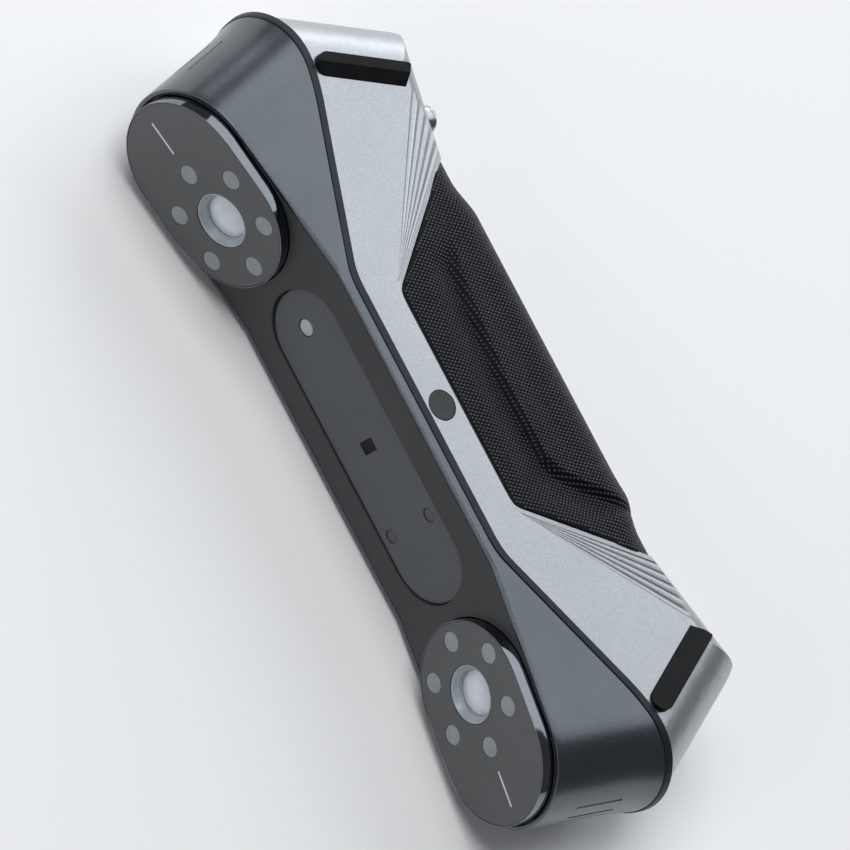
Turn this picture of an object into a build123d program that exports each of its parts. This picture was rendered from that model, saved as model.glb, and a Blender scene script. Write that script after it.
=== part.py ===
"""Handheld 3-D scanner: two toed-in camera heads on a bone-shaped body with a rubber grip at the back.

It lies on its side on its rubber feet. X is the long axis, -Y is where the cameras look and +Z is up.
Every piece is drawn about the optical origin, midway between the two lens faces and on the body's
mid-plane, and moves to the row frame as it is written. The +X head is called bottom and the -X head
top, as the scanner is held upright in use. All sizes are millimetres.
"""

import os
from math import cos, radians, sin, tan

from build123d import *

# ---- optics ---------------------------------------------------------------------------------------
LENS_X = 64.4            # half the distance between the two lens centres
TOE = 9.86               # each head turns this far towards the middle, degrees
LED_COUNT = 6
LED_RING_R = 13.5
LED_R = 2.65
LENS_OPENING_R = 7.4
LENS_GLASS_R = 5.6
POD_R = 18.6             # round ends of the raised camera pod
POD_CUP_R = 16.9         # its cup, which passes through the front plate
POD_IN = 0.3             # centres of those ends, measured outward from the lens
POD_OUT = 14.7
WINDOW_T = 1.2
POD_BACK = 3.4           # the pod's flange ends here, on the front plate

# ---- body -----------------------------------------------------------------------------------------
RIM_Y = 7.8              # front rim of the body at the waist
BREAK_X = 39.7           # where the rim starts to follow the tilted heads
HALF_WAIST = 20.9        # half the body's width at the waist
HALF_HEAD = 20.1         # and at the heads, whose ends are arcs of this radius
WAIST_X = 36.0           # the width starts to taper here
SEAM_Y = 12.4            # back edge of the dark seam band at the waist
SEAM_END_Y = 33.5        # and round the ends
SEAM_X1 = 37.4
SEAM_X2 = 89.3
SEAM_WIDTH = 2.2
SEAM_PROUD = 0.3
RIM_END_X = 79.2         # centre of the end arc at the rim
SEAM_END_X = 88.0        # and at the seam
SHEAR = 24.6             # the ends lean inward behind the seam, degrees
BACK_Y = 62.0            # back of a head beside the grip
BACK_X = 57.6
BACK_SLOPE = 13.2        # the back of a head rises outward at this angle, degrees
BACK_ROUND = 14.5        # edge rounding between the sides and the back
CORNER_ROUND = 11.0      # and between the back and the ends
WALL = 2.0
LIP = 1.1                # thin lip of the front housing round the plate
LEDGE = 2.2              # the plate sits this deep in the lip
GAP = 0.12

# ---- grip -----------------------------------------------------------------------------------------
GRIP_Y = 22.6            # front edge of the grip along the waist
GRIP_X = 29.5            # half length of that edge
GRIP_SLOPE = 53.6        # the grip's ends run back at this angle, degrees
GRIP_CORNER = 4.0
GRIP_BACK = 65.3
GRIP_BACK_X = 39.0
GRIP_END_BACK = 62.6
GRIP_END_X = 50.0
GRIP_ROUND = 14.0
GRIP_HALF_FRONT = 20.2   # half width at the front edge, before and after the side crease
GRIP_HALF_CREASE = 19.3
GRIP_HALF_BACK = 17.8
SLEEVE_T = 1.8
FRAME_T = 2.0
FLUTE_X = 31.0           # corner where the fluted facets start
FLUTE_Y = 22.4
FLUTE_RUN = 38.0         # direction of a facet's outer edge, degrees
FLUTE_TILT = 18.0        # a facet falls towards the grip at this angle, degrees

# ---- panel, feet, buttons, port and side inserts --------------------------------------------------
PANEL_HALF = 30.35       # half the distance between the panel's end centres
PANEL_R = 11.9
PANEL_Y = 7.85
PANEL_T = 1.2
COLOUR_X = -32.4         # colour camera's window
COLOUR_R = 2.3
LASER_HALF_X = 1.65      # half sizes of the laser window
LASER_HALF_Z = 2.45
SENSOR_X = 21.7
SENSOR_Z = 8.1
SENSOR_R = 1.8
FOOT_HEIGHT = 1.9        # a foot stands this far out of the body's side
FOOT_R = 2.9
FOOT_START = (86.9, 35.1)
FOOT_END = (77.1, 56.1)
FOOT_TRIM = 1.0          # its back end is cut off square, this far from the facet's edge
FOOT_POCKET = 1.0
BUTTON_X = 66.5
BUTTON_R = 3.6
SCAN_BUTTON_R = 4.2
BUTTON_PITCH = 9.4
BUTTON_PROUD = 2.3
BUTTON_FLANGE = (-5.4, -4.6)  # a button's inner flange, below the outer surface
BUTTONS = {              # across the back, and radius
    "plus_button": (BUTTON_PITCH, BUTTON_R),
    "scan_button": (0.0, SCAN_BUTTON_R),
    "minus_button": (-BUTTON_PITCH, BUTTON_R),
}
PORT_Y = 60.0
PORT_HALF = (3.1, 6.5)   # half sizes of the cable recess, across and along Z
PORT_DEPTH = 3.5
DISC_Y = 16.9            # side inserts and the plug over one of them
DISC_R = 4.0
INSERT_BORE_R = 2.6      # minor diameter of a 1/4-20 thread, halved
INSERT_LENGTH = 5.9

# ---- inside ---------------------------------------------------------------------------------------
SCREW_R = 1.0
PILOT_R = 1.05
BENCH_Y = 14.4
BENCH_T = 2.6
BENCH_SCREW = (36.0, 14.6)
BOARD_Y = 20.4
BOARD_T = 1.4
BOARD_HALF = (44.0, 12.0)
BOARD_SCREW = (38.0, 8.5)
CAMERA_BOARD_Y = 12.0
FIN_COUNT = 8
FIN_X = 18.5             # the outermost fins' distance from the middle
POST = (82.4, 44.6)
BUTTON_BOARD_Y = -9.2    # below the outer surface of the head's back
BUTTON_SCREW_X = 8.5

REACH = 130.0            # further than the body in every direction
HIGH = 40.0
TOE_TAN = tan(radians(TOE))
SHEAR_TAN = tan(radians(SHEAR))
BACK_TAN = tan(radians(BACK_SLOPE))


# ---- drawing helpers ------------------------------------------------------------------------------
def prism_y(sketch, y0, y1):
    """Extrude a sketch drawn in (x, z) along +Y from y0 to y1."""
    plane = Plane(origin=(0, y0, 0), x_dir=(1, 0, 0), z_dir=(0, -1, 0))
    return extrude(plane * sketch, amount=y1 - y0, dir=(0, 1, 0))


def prism_z(sketch, z0, z1):
    """Extrude a sketch drawn in (x, y) along +Z from z0 to z1."""
    return extrude(Pos(0, 0, z0) * sketch, amount=z1 - z0)


def prism_x(sketch, x0, x1, lean=0.0):
    """Extrude a sketch drawn in (y, z) from x0 to x1, leaning towards +Y by an angle."""
    plane = Plane(origin=(x0, 0, 0), x_dir=(0, 1, 0), z_dir=(1, 0, 0))
    along = (cos(radians(lean)), sin(radians(lean)), 0)
    return extrude(plane * sketch, amount=(x1 - x0) / along[0], dir=along)


def block(x0, x1, y0, y1, z0, z1):
    """A box between two corners."""
    return Pos((x0 + x1) / 2, (y0 + y1) / 2, (z0 + z1) / 2) * Box(x1 - x0, y1 - y0, z1 - z0)


def rod_y(x, z, radius, y0, y1):
    """A cylinder along Y."""
    return prism_y(Pos(x, z) * Circle(radius), y0, y1)


def rod_z(x, y, radius, z0, z1):
    """A cylinder along Z."""
    return prism_z(Pos(x, y) * Circle(radius), z0, z1)


def slot_y(x0, x1, radius, y0, y1):
    """A stadium prism along Y whose round ends are centred at x0 and x1."""
    return prism_y(Pos((x0 + x1) / 2, 0) * SlotCenterToCenter(x1 - x0, 2 * radius), y0, y1)


def head(shape):
    """Put a piece drawn about a lens centre (X outward, Y into the body) on the +X head."""
    return Location((LENS_X, 0, 0), (0, 0, -TOE)) * shape


def other_end(shape):
    """The same piece on the -X head."""
    return mirror(shape, about=Plane.YZ)


def other_side(shape):
    """The same piece on the -Z side."""
    return mirror(shape, about=Plane.XY)


def four(place):
    """The four points (+-x, +-z) of a symmetric pattern."""
    return [(sx * place[0], sz * place[1]) for sx in (-1, 1) for sz in (-1, 1)]


def group(solids):
    """Several separate solids that share one node."""
    return Compound(children=list(solids))


# ---- the body's outer form ------------------------------------------------------------------------
def plan_face(y, centre_x, inset):
    """The body's outline seen from the front: straight at the waist, tapered, round at the ends."""
    waist = HALF_WAIST - inset
    radius = HALF_HEAD - inset
    outline = [
        Line((WAIST_X, waist), (centre_x, radius)),
        ThreePointArc((centre_x, radius), (centre_x + radius, 0), (centre_x, -radius)),
        Polyline((centre_x, -radius), (WAIST_X, -waist), (-WAIST_X, -waist), (-centre_x, -radius)),
        ThreePointArc((-centre_x, -radius), (-centre_x - radius, 0), (-centre_x, radius)),
        Polyline((-centre_x, radius), (-WAIST_X, waist), (WAIST_X, waist)),
    ]
    plane = Plane(origin=(0, y, 0), x_dir=(1, 0, 0), z_dir=(0, -1, 0))
    return plane * make_face(outline)


def front_form(inset=0.0):
    """The solid form in front of the seam, whose ends flare towards the seam."""
    rim_end_y = -2.5
    flare = (SEAM_END_X - RIM_END_X) / (SEAM_END_Y - rim_end_y)
    levels = (-9.0, 37.0)
    return loft([plan_face(y, RIM_END_X + flare * (y - rim_end_y), inset) for y in levels], ruled=True)


def rear_form(inset=0.0):
    """The solid form behind the seam, whose ends lean inward."""
    levels = (8.0, 78.0)
    return loft([plan_face(y, SEAM_END_X - SHEAR_TAN * (y - SEAM_END_Y), inset) for y in levels], ruled=True)


def rim_line(offset):
    """The front rim seen from the side: flat at the waist, square to each tilted head."""
    end_y = RIM_Y + offset - (REACH - BREAK_X) * TOE_TAN
    waist_y = RIM_Y + offset
    return Polyline((-REACH, end_y), (-BREAK_X, waist_y), (BREAK_X, waist_y), (REACH, end_y))


def seam_line(offset):
    """The seam seen from the side: low at the waist, rising to the ends in easy bends."""
    end_y = SEAM_END_Y + offset
    waist_y = SEAM_Y + offset
    points = [(-REACH, end_y), (-SEAM_X2, end_y), (-SEAM_X1, waist_y)]
    points += [(-x, y) for x, y in reversed(points)]
    return FilletPolyline(*points, radius=[60, 18, 18, 60])


def level_line(y):
    """A straight line across the whole body."""
    return Line((-REACH, y), (REACH, y))


def slab(front, back):
    """Everything between two side-view lines that both run from -X to +X."""
    edges = [front, Line(front @ 1, back @ 1), back, Line(back @ 0, front @ 0)]
    return prism_z(make_face(edges), -HIGH, HIGH)


def back_line_y(x):
    """The back surface of a head at a distance x from the middle."""
    return BACK_Y + (x - BACK_X) * BACK_TAN


def side_view(inset):
    """The +X half of the body seen from the side, with a rounded corner between its back and its end."""
    end_x = SEAM_END_X + HALF_HEAD + 0.3 - inset + SHEAR_TAN * SEAM_END_Y
    back_y = back_line_y(0) - inset
    corner_x = (end_x - SHEAR_TAN * back_y) / (1 + SHEAR_TAN * BACK_TAN)
    outline = FilletPolyline(
        (end_x, 0),
        (corner_x, back_y + corner_x * BACK_TAN),
        (-1, back_y - BACK_TAN),
        radius=CORNER_ROUND - inset,
    )
    closing = Polyline(outline @ 1, (-1, 0), outline @ 0)
    return prism_z(make_face([outline, closing]), -HIGH, HIGH)


def rounded_back(inset):
    """The +X half with its back edges rounded, following the slope of the back."""
    half = HALF_WAIST + 0.2 - inset
    back = back_line_y(0) - inset
    corners = [(-HIGH, -half), (back, -half), (back, half), (-HIGH, half)]
    outline = FilletPolyline(*corners, radius=BACK_ROUND - inset / 2)
    return prism_x(make_face([outline, Line(outline @ 1, outline @ 0)]), 0, REACH, BACK_SLOPE)


def half_shell(inset):
    """The solid form of the +X half behind the seam."""
    return rear_form(inset) & rounded_back(inset) & side_view(inset)


def grip_zone(gap):
    """The region of the grip seen from the side, shrunk by a gap along its edges."""
    far_y = 84.0
    slope = radians(GRIP_SLOPE)
    front_y = GRIP_Y + gap
    front_x = GRIP_X - gap / sin(slope) + gap / tan(slope)
    far_x = front_x + (far_y - front_y) / tan(slope)
    corners = [(-far_x, far_y), (-front_x, front_y), (front_x, front_y), (far_x, far_y)]
    edge = FilletPolyline(*corners, radius=GRIP_CORNER)
    return prism_z(make_face([edge, Line(edge @ 1, edge @ 0)]), -HIGH, HIGH)


def flute_cuts(depth):
    """Four wedges, one at each corner, that leave the facets for the flutes. Depth lowers them."""
    run = radians(FLUTE_RUN)
    tilt = radians(FLUTE_TILT)
    facet = Plane(
        origin=(FLUTE_X, FLUTE_Y, HALF_WAIST - depth),
        x_dir=(cos(run), sin(run), 0),
        z_dir=(-sin(run) * sin(tilt), cos(run) * sin(tilt), cos(tilt)),
    )
    wedge = facet * Pos(53, 30, 10) * Box(110, 60, 20)
    pair = [wedge, other_side(wedge)]
    return pair + [other_end(w) for w in pair]


def on_back(shape):
    """Put a piece drawn about a point on the outer surface (Y outward) on the back of the -X head."""
    seat = Location((BUTTON_X, back_line_y(BUTTON_X), 0), (0, 0, BACK_SLOPE))
    return other_end(seat * shape)


def on_end(shape):
    """Put a piece drawn about a point on the outer surface (X outward) on the +X end."""
    end_x = SEAM_END_X + HALF_HEAD - SHEAR_TAN * (PORT_Y - SEAM_END_Y)
    return Location((end_x, PORT_Y, 0), (0, 0, SHEAR)) * shape


def port_prism(margin, x0, x1):
    """A rounded box along local X round the cable recess, larger by a margin."""
    half_y, half_z = PORT_HALF[0] + margin, PORT_HALF[1] + margin
    return prism_x(RectangleRounded(2 * half_y, 2 * half_z, half_y - 0.2), x0, x1)


def foot_prism(margin, z0, z1):
    """A foot's outline as a prism, larger by a margin: round in front, cut along the facet at the back."""
    (x0, y0), (x1, y1) = FOOT_START, FOOT_END
    outline = SlotCenterPoint(((x0 + x1) / 2, (y0 + y1) / 2), (x1, y1), 2 * (FOOT_R + margin))
    facet = Location((FLUTE_X, FLUTE_Y, 0), (0, 0, FLUTE_RUN))
    beyond = facet * Pos(60, 25 - FOOT_TRIM + margin, 0) * Box(160, 50, 2 * HIGH)
    return prism_z(outline, z0, z1) - beyond


# ---- front housing, plate, panel and seam ---------------------------------------------------------
def front_housing():
    """Gunmetal band round the front, open at both faces, with a thin lip for the plate."""
    solid = front_form() & slab(rim_line(0), seam_line(-SEAM_WIDTH))
    solid -= front_form(WALL)
    solid -= front_form(LIP) & slab(rim_line(-6), rim_line(LEDGE))
    for z in (-6.9, -2.3, 2.3, 6.9):
        slot = block(92, 112, 7.0, 21.0, z - 0.35, z + 0.35)
        solid -= slot
        solid -= other_end(slot)
    return solid


def seam_band():
    """Dark band between the two housings, standing a little proud of both."""
    band = front_form(-SEAM_PROUD) & slab(seam_line(-SEAM_WIDTH), seam_line(0))
    return band - front_form(WALL)


def front_plate():
    """Matt front plate: carries both pods, holds the panel and has four screw bosses."""
    back = RIM_Y + LEDGE
    solid = front_form(LIP + GAP) & slab(rim_line(-0.5), rim_line(LEDGE))
    seat = slot_y(POD_IN, POD_OUT, POD_R + 0.3, -8, POD_BACK)
    seat = head(seat + slot_y(POD_IN, POD_OUT, POD_CUP_R + GAP, -8, 14))
    solid = solid - seat - other_end(seat)
    solid -= slot_y(-PANEL_HALF, PANEL_HALF, PANEL_R + 0.15, 0, PANEL_Y + PANEL_T)
    solid -= rod_y(COLOUR_X, 0, COLOUR_R + 0.3, 0, 20)
    solid -= block(-2.0, 2.0, 0, 20, -2.8, 2.8)
    for x, z in four(BENCH_SCREW):
        solid += rod_y(x, z, 2.6, back, BENCH_Y)
        solid -= rod_y(x, z, PILOT_R, back, BENCH_Y)
    return solid


def center_panel():
    """Recessed cover over the colour camera and the laser."""
    solid = slot_y(-PANEL_HALF, PANEL_HALF, PANEL_R, PANEL_Y, PANEL_Y + PANEL_T)
    solid -= rod_y(COLOUR_X, 0, COLOUR_R + 0.03, 0, 20)
    half_x, half_z = LASER_HALF_X + 0.03, LASER_HALF_Z + 0.03
    solid -= block(-half_x, half_x, 0, 20, -half_z, half_z)
    for z in (-SENSOR_Z, SENSOR_Z):
        solid -= rod_y(SENSOR_X, z, SENSOR_R + 0.03, 0, PANEL_Y + 0.9)
    return solid


def colour_window():
    return rod_y(COLOUR_X, 0, COLOUR_R, PANEL_Y + 0.15, PANEL_Y + 1.1)


def laser_window():
    return block(-LASER_HALF_X, LASER_HALF_X, PANEL_Y + 0.3, PANEL_Y + 1.1, -LASER_HALF_Z, LASER_HALF_Z)


def sensor_windows():
    front, back = PANEL_Y + 0.25, PANEL_Y + 0.9
    return group(rod_y(SENSOR_X, z, SENSOR_R, front, back) for z in (-SENSOR_Z, SENSOR_Z))


# ---- one camera head, drawn about its lens centre -------------------------------------------------
def led_places():
    """The six lamps round the lens, two of them on the head's long axis."""
    turns = [radians(360 * i / LED_COUNT) for i in range(LED_COUNT)]
    return [(LED_RING_R * cos(t), LED_RING_R * sin(t)) for t in turns]


def window():
    """Dark pane over the whole pod, with holes for the lens and the lamps."""
    solid = slot_y(POD_IN, POD_OUT, POD_R, 0, WINDOW_T)
    solid = chamfer(solid.faces().sort_by(Axis.Y)[0].edges(), 0.4)
    solid -= rod_y(0, 0, LENS_OPENING_R, -1, 3)
    for x, z in led_places():
        solid -= rod_y(x, z, LED_R, -1, 3)
    return solid


def bezel():
    """Gloss pod under the pane: a flange on the front plate and a cup through it."""
    floor_y = 2.2
    solid = slot_y(POD_IN, POD_OUT, POD_R, WINDOW_T, POD_BACK)
    solid += slot_y(POD_IN, POD_OUT, POD_CUP_R, POD_BACK, 7.5)
    solid -= slot_y(POD_IN, POD_OUT, POD_CUP_R - 1.2, floor_y, 8)
    solid -= rod_y(0, 0, LENS_OPENING_R, 0, 3)
    for x, z in led_places():
        solid -= rod_y(x, z, LED_R, 0, 3)
    return solid


def led_windows():
    return group(rod_y(x, z, LED_R - 0.02, 0.02, 2.2) for x, z in led_places())


def led_chips():
    return group(rod_y(x, z, 1.7, 3.0, 4.2) for x, z in led_places())


def led_board():
    return slot_y(POD_IN, POD_OUT, 15.2, 4.2, 5.4) - rod_y(0, 0, LENS_OPENING_R + 0.6, 3, 7)


def lens_barrel():
    """Grey tube with a conical mouth round the front lens."""
    from_wide_end = (Align.CENTER, Align.CENTER, Align.MIN)
    mouth = Cone(6.9, LENS_GLASS_R, 2.4, align=from_wide_end)
    mouth = Location((0, 0.2, 0), (-90, 0, 0)) * mouth
    tube = rod_y(0, 0, LENS_OPENING_R - 0.08, 0.2, 9.0)
    return tube - mouth - rod_y(0, 0, LENS_GLASS_R, 2.0, 10)


def front_lens():
    """Glass element with a domed front."""
    dome_r = 11.0
    dome = Pos(0, 1.6 + dome_r, 0) * Sphere(dome_r)
    return rod_y(0, 0, LENS_GLASS_R - 0.02, 1.6, 6.0) & dome


def lens_holder():
    """Threaded holder that joins the barrel to the camera board."""
    solid = rod_y(0, 0, LENS_OPENING_R + 2.0, 6.2, CAMERA_BOARD_Y)
    return solid - rod_y(0, 0, LENS_OPENING_R - 0.06, 5, 9.0) - rod_y(0, 0, 6.2, 8, 13)


def camera_board():
    return block(-13, 13, CAMERA_BOARD_Y, CAMERA_BOARD_Y + 1.2, -11, 11)


def image_sensor():
    return block(-4, 4, CAMERA_BOARD_Y - 1.0, CAMERA_BOARD_Y, -3.5, 3.5)


def camera_flex():
    """Flat cable from the camera board back to the main board, drawn in the optical frame."""
    start = head(Pos(-12.0, CAMERA_BOARD_Y + 1.3, 0)).position
    end_x = BOARD_HALF[0] - 1.5
    bends = [(start.X, start.Y), (start.X - 1.2, start.Y + 2.4)]
    bends += [(end_x + 0.6, BOARD_Y - 2.0), (end_x, BOARD_Y)]
    thickness = 0.35
    outline = bends + [(x + thickness, y) for x, y in reversed(bends)]
    return prism_z(make_face(Polyline(*outline, close=True)), 8.4, 10.8)


# ---- inside the body ------------------------------------------------------------------------------
def optical_bench():
    """Aluminium bar that keeps both camera boards and the laser in line."""
    back = BENCH_Y + BENCH_T
    solid = block(-52.5, 52.5, BENCH_Y, back, -7, 7)
    for x in (-BENCH_SCREW[0], BENCH_SCREW[0]):
        solid += block(x - 4, x + 4, BENCH_Y, back, -17.4, 17.4)
    plate = head(block(-17, 13, CAMERA_BOARD_Y + 1.2, CAMERA_BOARD_Y + 3.6, -8, 8))
    solid = solid + plate + other_end(plate)
    for x in (COLOUR_X, 0.0):
        solid -= rod_y(x, 0, 4.2, 10, 20)
    for x, z in four(BENCH_SCREW):
        solid -= rod_y(x, z, SCREW_R + 0.2, 10, 20)
    for x, z in four(BOARD_SCREW):
        solid -= rod_y(x, z, PILOT_R, 10, 20)
    return solid


def screw_y(x, z, tip, seat, head_r, head_t):
    """A pan-head screw along Y, driven from the back."""
    return rod_y(x, z, SCREW_R, tip, seat) + rod_y(x, z, head_r, seat, seat + head_t)


def bench_screws():
    """Four screws through the bench into the front plate's bosses."""
    back = BENCH_Y + BENCH_T
    tip = RIM_Y + LEDGE + 0.4
    return group(screw_y(x, z, tip, back, 1.9, 1.3) for x, z in four(BENCH_SCREW))


def colour_camera():
    return rod_y(COLOUR_X, 0, 2.2, 9.2, 10.1) + rod_y(COLOUR_X, 0, 4.0, 10.1, 19.8)


def laser_module():
    return rod_y(0, 0, 1.9, 9.2, 10.1) + rod_y(0, 0, 4.0, 10.1, 19.8)


def main_board():
    half_x, half_z = BOARD_HALF
    solid = block(-half_x, half_x, BOARD_Y, BOARD_Y + BOARD_T, -half_z, half_z)
    for x, z in four(BOARD_SCREW):
        solid -= rod_y(x, z, SCREW_R + 0.2, 18, 24)
    return solid


def board_spacers():
    """Four spacers between the bench and the main board."""
    back = BENCH_Y + BENCH_T
    hole_r = SCREW_R + 0.2
    return group(rod_y(x, z, 2.1, back, BOARD_Y) - rod_y(x, z, hole_r, 10, 30) for x, z in four(BOARD_SCREW))


def board_screws():
    back = BOARD_Y + BOARD_T
    return group(screw_y(x, z, 15.0, back, 1.8, 1.2) for x, z in four(BOARD_SCREW))


def processor():
    back = BOARD_Y + BOARD_T
    return block(-9, 9, back, back + 1.2, -9, 9)


def heat_sink():
    """Finned aluminium block on the processor."""
    base_y = BOARD_Y + BOARD_T + 1.2
    solid = block(-20, 20, base_y, base_y + 2, -10, 10)
    for i in range(FIN_COUNT):
        x = -FIN_X + i * 2 * FIN_X / (FIN_COUNT - 1)
        solid += block(x - 0.7, x + 0.7, base_y + 2, base_y + 10, -10, 10)
    return solid


# ---- rear shell and what it holds -----------------------------------------------------------------
def rear_shell():
    """Silver shell behind the seam: two hollow head backs joined by a strip along each side."""
    outer = half_shell(0)
    inner = half_shell(WALL)
    for cut in flute_cuts(0)[:2]:
        outer -= cut
    for cut in flute_cuts(WALL)[:2]:
        inner -= cut
    half = (outer & slab(seam_line(0.03), level_line(90))) - inner - grip_zone(0)
    solid = half + other_end(half)
    boss = rod_z(0, DISC_Y, 5.2, 12.5, 19.5) & block(-6, 6, SEAM_Y + 0.05, 22.0, 0, 30)
    solid = solid + boss + other_side(boss)
    solid -= rod_z(0, DISC_Y, DISC_R, 13.4, 25)
    solid -= rod_z(0, DISC_Y, DISC_R, -25, -HALF_WAIST + INSERT_LENGTH)
    for sink in foot_sinks():
        solid -= sink
    for z, radius in BUTTONS.values():
        solid -= on_back(rod_y(0, z, radius + 0.25, -6, 6))
    for x in (-BUTTON_SCREW_X, BUTTON_SCREW_X):
        solid += on_back(rod_y(x, 0, 1.7, BUTTON_BOARD_Y + 1.2, -1.5) - rod_y(x, 0, 0.75, -9, -3))
    return solid - on_end(port_prism(0.95, -9, 6))


def foot_sinks():
    """The four feet's pockets, each with a screw hole through the wall."""
    floor = HALF_HEAD - FOOT_POCKET
    sink = foot_prism(0.1, floor, 25)
    sink = sink + rod_z(*POST, 1.9, floor - 0.55, 25) + rod_z(*POST, 1.2, 10, 25)
    pair = [sink, other_side(sink)]
    return pair + [other_end(s) for s in pair]


def foot():
    """Rubber foot with a flat crest on its outer half and a slope towards the body's middle."""
    top = HALF_HEAD + FOOT_HEIGHT
    solid = foot_prism(0, HALF_HEAD - FOOT_POCKET, top)
    (x0, y0), (x1, y1) = FOOT_START, FOOT_END
    along = Vector(x1 - x0, y1 - y0, 0).normalized()
    outward = Vector(along.Y, -along.X, 0)
    crest = Vector((x0 + x1) / 2, (y0 + y1) / 2, top) + outward * 0.2
    slope = Plane(origin=crest, x_dir=along, z_dir=outward * -0.52 + Vector(0, 0, 1))
    return solid - slope * Pos(0, 0, 5) * Box(60, 12, 10)


def tie_post():
    """Post between the two walls of a head, drilled at both ends for the shell screws."""
    half = HALF_HEAD - WALL - 0.7
    solid = rod_z(*POST, 3.2, -half, half)
    return solid - rod_z(*POST, PILOT_R, half - 7, half) - rod_z(*POST, PILOT_R, -half, -half + 7)


def shell_screws():
    """Four screws under the feet, through the shell into the tie posts."""
    seat = HALF_HEAD - FOOT_POCKET - 0.5
    screw = rod_z(*POST, SCREW_R, seat - 6.5, seat) + rod_z(*POST, 1.8, seat, seat + 0.45)
    pair = [screw, other_side(screw)]
    return group(pair + [other_end(s) for s in pair])


def tripod_inserts():
    """Two threaded brass inserts, sunk on the +Z side and flush on the -Z side."""
    near = rod_z(0, DISC_Y, DISC_R - 0.03, 13.4, 13.4 + INSERT_LENGTH)
    near -= rod_z(0, DISC_Y, INSERT_BORE_R, 12, 25)
    far = rod_z(0, DISC_Y, DISC_R - 0.03, -HALF_WAIST, -HALF_WAIST + INSERT_LENGTH)
    far -= rod_z(0, DISC_Y, INSERT_BORE_R, -25, -12)
    return group([near, far])


def side_plug():
    """Flush rubber plug over the +Z insert."""
    return rod_z(0, DISC_Y, DISC_R - 0.08, 13.4 + INSERT_LENGTH, HALF_WAIST)


def button(z, radius):
    """Round metal button with an inner flange that keeps it behind the wall."""
    low, high = BUTTON_FLANGE
    cap = rod_y(0, z, radius, low, BUTTON_PROUD)
    cap = fillet(cap.faces().sort_by(Axis.Y)[-1].edges(), 0.9)
    flange_r = min(radius + 0.7, BUTTON_PITCH / 2 - 0.1)
    return on_back(cap + rod_y(0, z, flange_r, low, high))


def button_switches():
    """A tact switch under each button, its plunger just clear of the pressed button."""
    top = BUTTON_BOARD_Y + 1.2
    switches = []
    for z, _ in BUTTONS.values():
        case = block(-2.2, 2.2, top, top + 1.8, z - 2.2, z + 2.2)
        switches.append(case + rod_y(0, z, 1.2, top + 1.8, top + 2.0))
    return on_back(group(switches))


def button_board():
    board = block(-10.5, 10.5, BUTTON_BOARD_Y, BUTTON_BOARD_Y + 1.2, -13, 13)
    for x in (-BUTTON_SCREW_X, BUTTON_SCREW_X):
        board -= rod_y(x, 0, 0.9, -12, 0)
    return on_back(board)


def button_board_screws():
    low = BUTTON_BOARD_Y
    screws = []
    for x in (-BUTTON_SCREW_X, BUTTON_SCREW_X):
        screws.append(rod_y(x, 0, 0.7, low, -4) + rod_y(x, 0, 1.4, low - 1, low))
    return on_back(group(screws))


def port_surround():
    """Moulded cup set flush in the end, with a recess for the cable's plug."""
    cup = on_end(port_prism(0.9, -7, 6)) & half_shell(0)
    cup -= on_end(port_prism(0, -PORT_DEPTH, 6))
    return cup - on_end(block(-12, 0, -1.75, 1.75, -4.65, 4.65))


def usb_socket():
    """Metal socket at the bottom of the recess."""
    shell = block(-11, -PORT_DEPTH - 0.3, -1.7, 1.7, -4.6, 4.6) - block(-9, 0, -1.3, 1.3, -4.2, 4.2)
    return on_end(shell + block(-9, -PORT_DEPTH - 1, -0.35, 0.35, -3.4, 3.4))


# ---- grip -----------------------------------------------------------------------------------------
def grip_form(inset, front_y):
    """The grip's section along the waist, between its stepped back lines."""
    taper = (GRIP_HALF_FRONT - GRIP_HALF_CREASE) / (38.0 - GRIP_Y)
    half_back = GRIP_HALF_BACK - inset
    back = GRIP_BACK - inset
    half = [
        (front_y, GRIP_HALF_FRONT - inset + taper * (GRIP_Y - front_y)),
        (38.0, GRIP_HALF_CREASE - inset),
        (42.0, half_back),
        (back, half_back),
    ]
    points = half + [(y, -z) for y, z in reversed(half)]
    turn = GRIP_ROUND - inset
    outline = FilletPolyline(*points, radius=[3, 3, turn, turn, 3, 3])
    form = prism_x(make_face([outline, Line(outline @ 1, outline @ 0)]), -REACH, REACH)
    end_back = GRIP_END_BACK - inset
    steps = Polyline(
        (-REACH, end_back), (-GRIP_END_X, end_back), (-GRIP_BACK_X, back),
        (GRIP_BACK_X, back), (GRIP_END_X, end_back), (REACH, end_back),
    )
    return form & slab(level_line(0), steps)


def grip_sleeve():
    """Rubber sleeve over the grip's sides and back."""
    solid = grip_form(0, GRIP_Y + 0.25) & grip_zone(0.25)
    return solid - grip_form(SLEEVE_T, 10)


def grip_frame():
    """Rigid frame under the sleeve; its front legs reach inside the shell's side strips."""
    front_y = 19.6
    inset = SLEEVE_T + 0.1
    solid = grip_form(inset, front_y) - grip_form(inset + FRAME_T, 10)
    legs = block(-27, 27, front_y, GRIP_Y + 1, -HIGH, HIGH)
    solid = solid & (grip_zone(1.0) + legs)
    return solid - block(-6, 6, 15, 22.3, -HIGH, HIGH)


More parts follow.
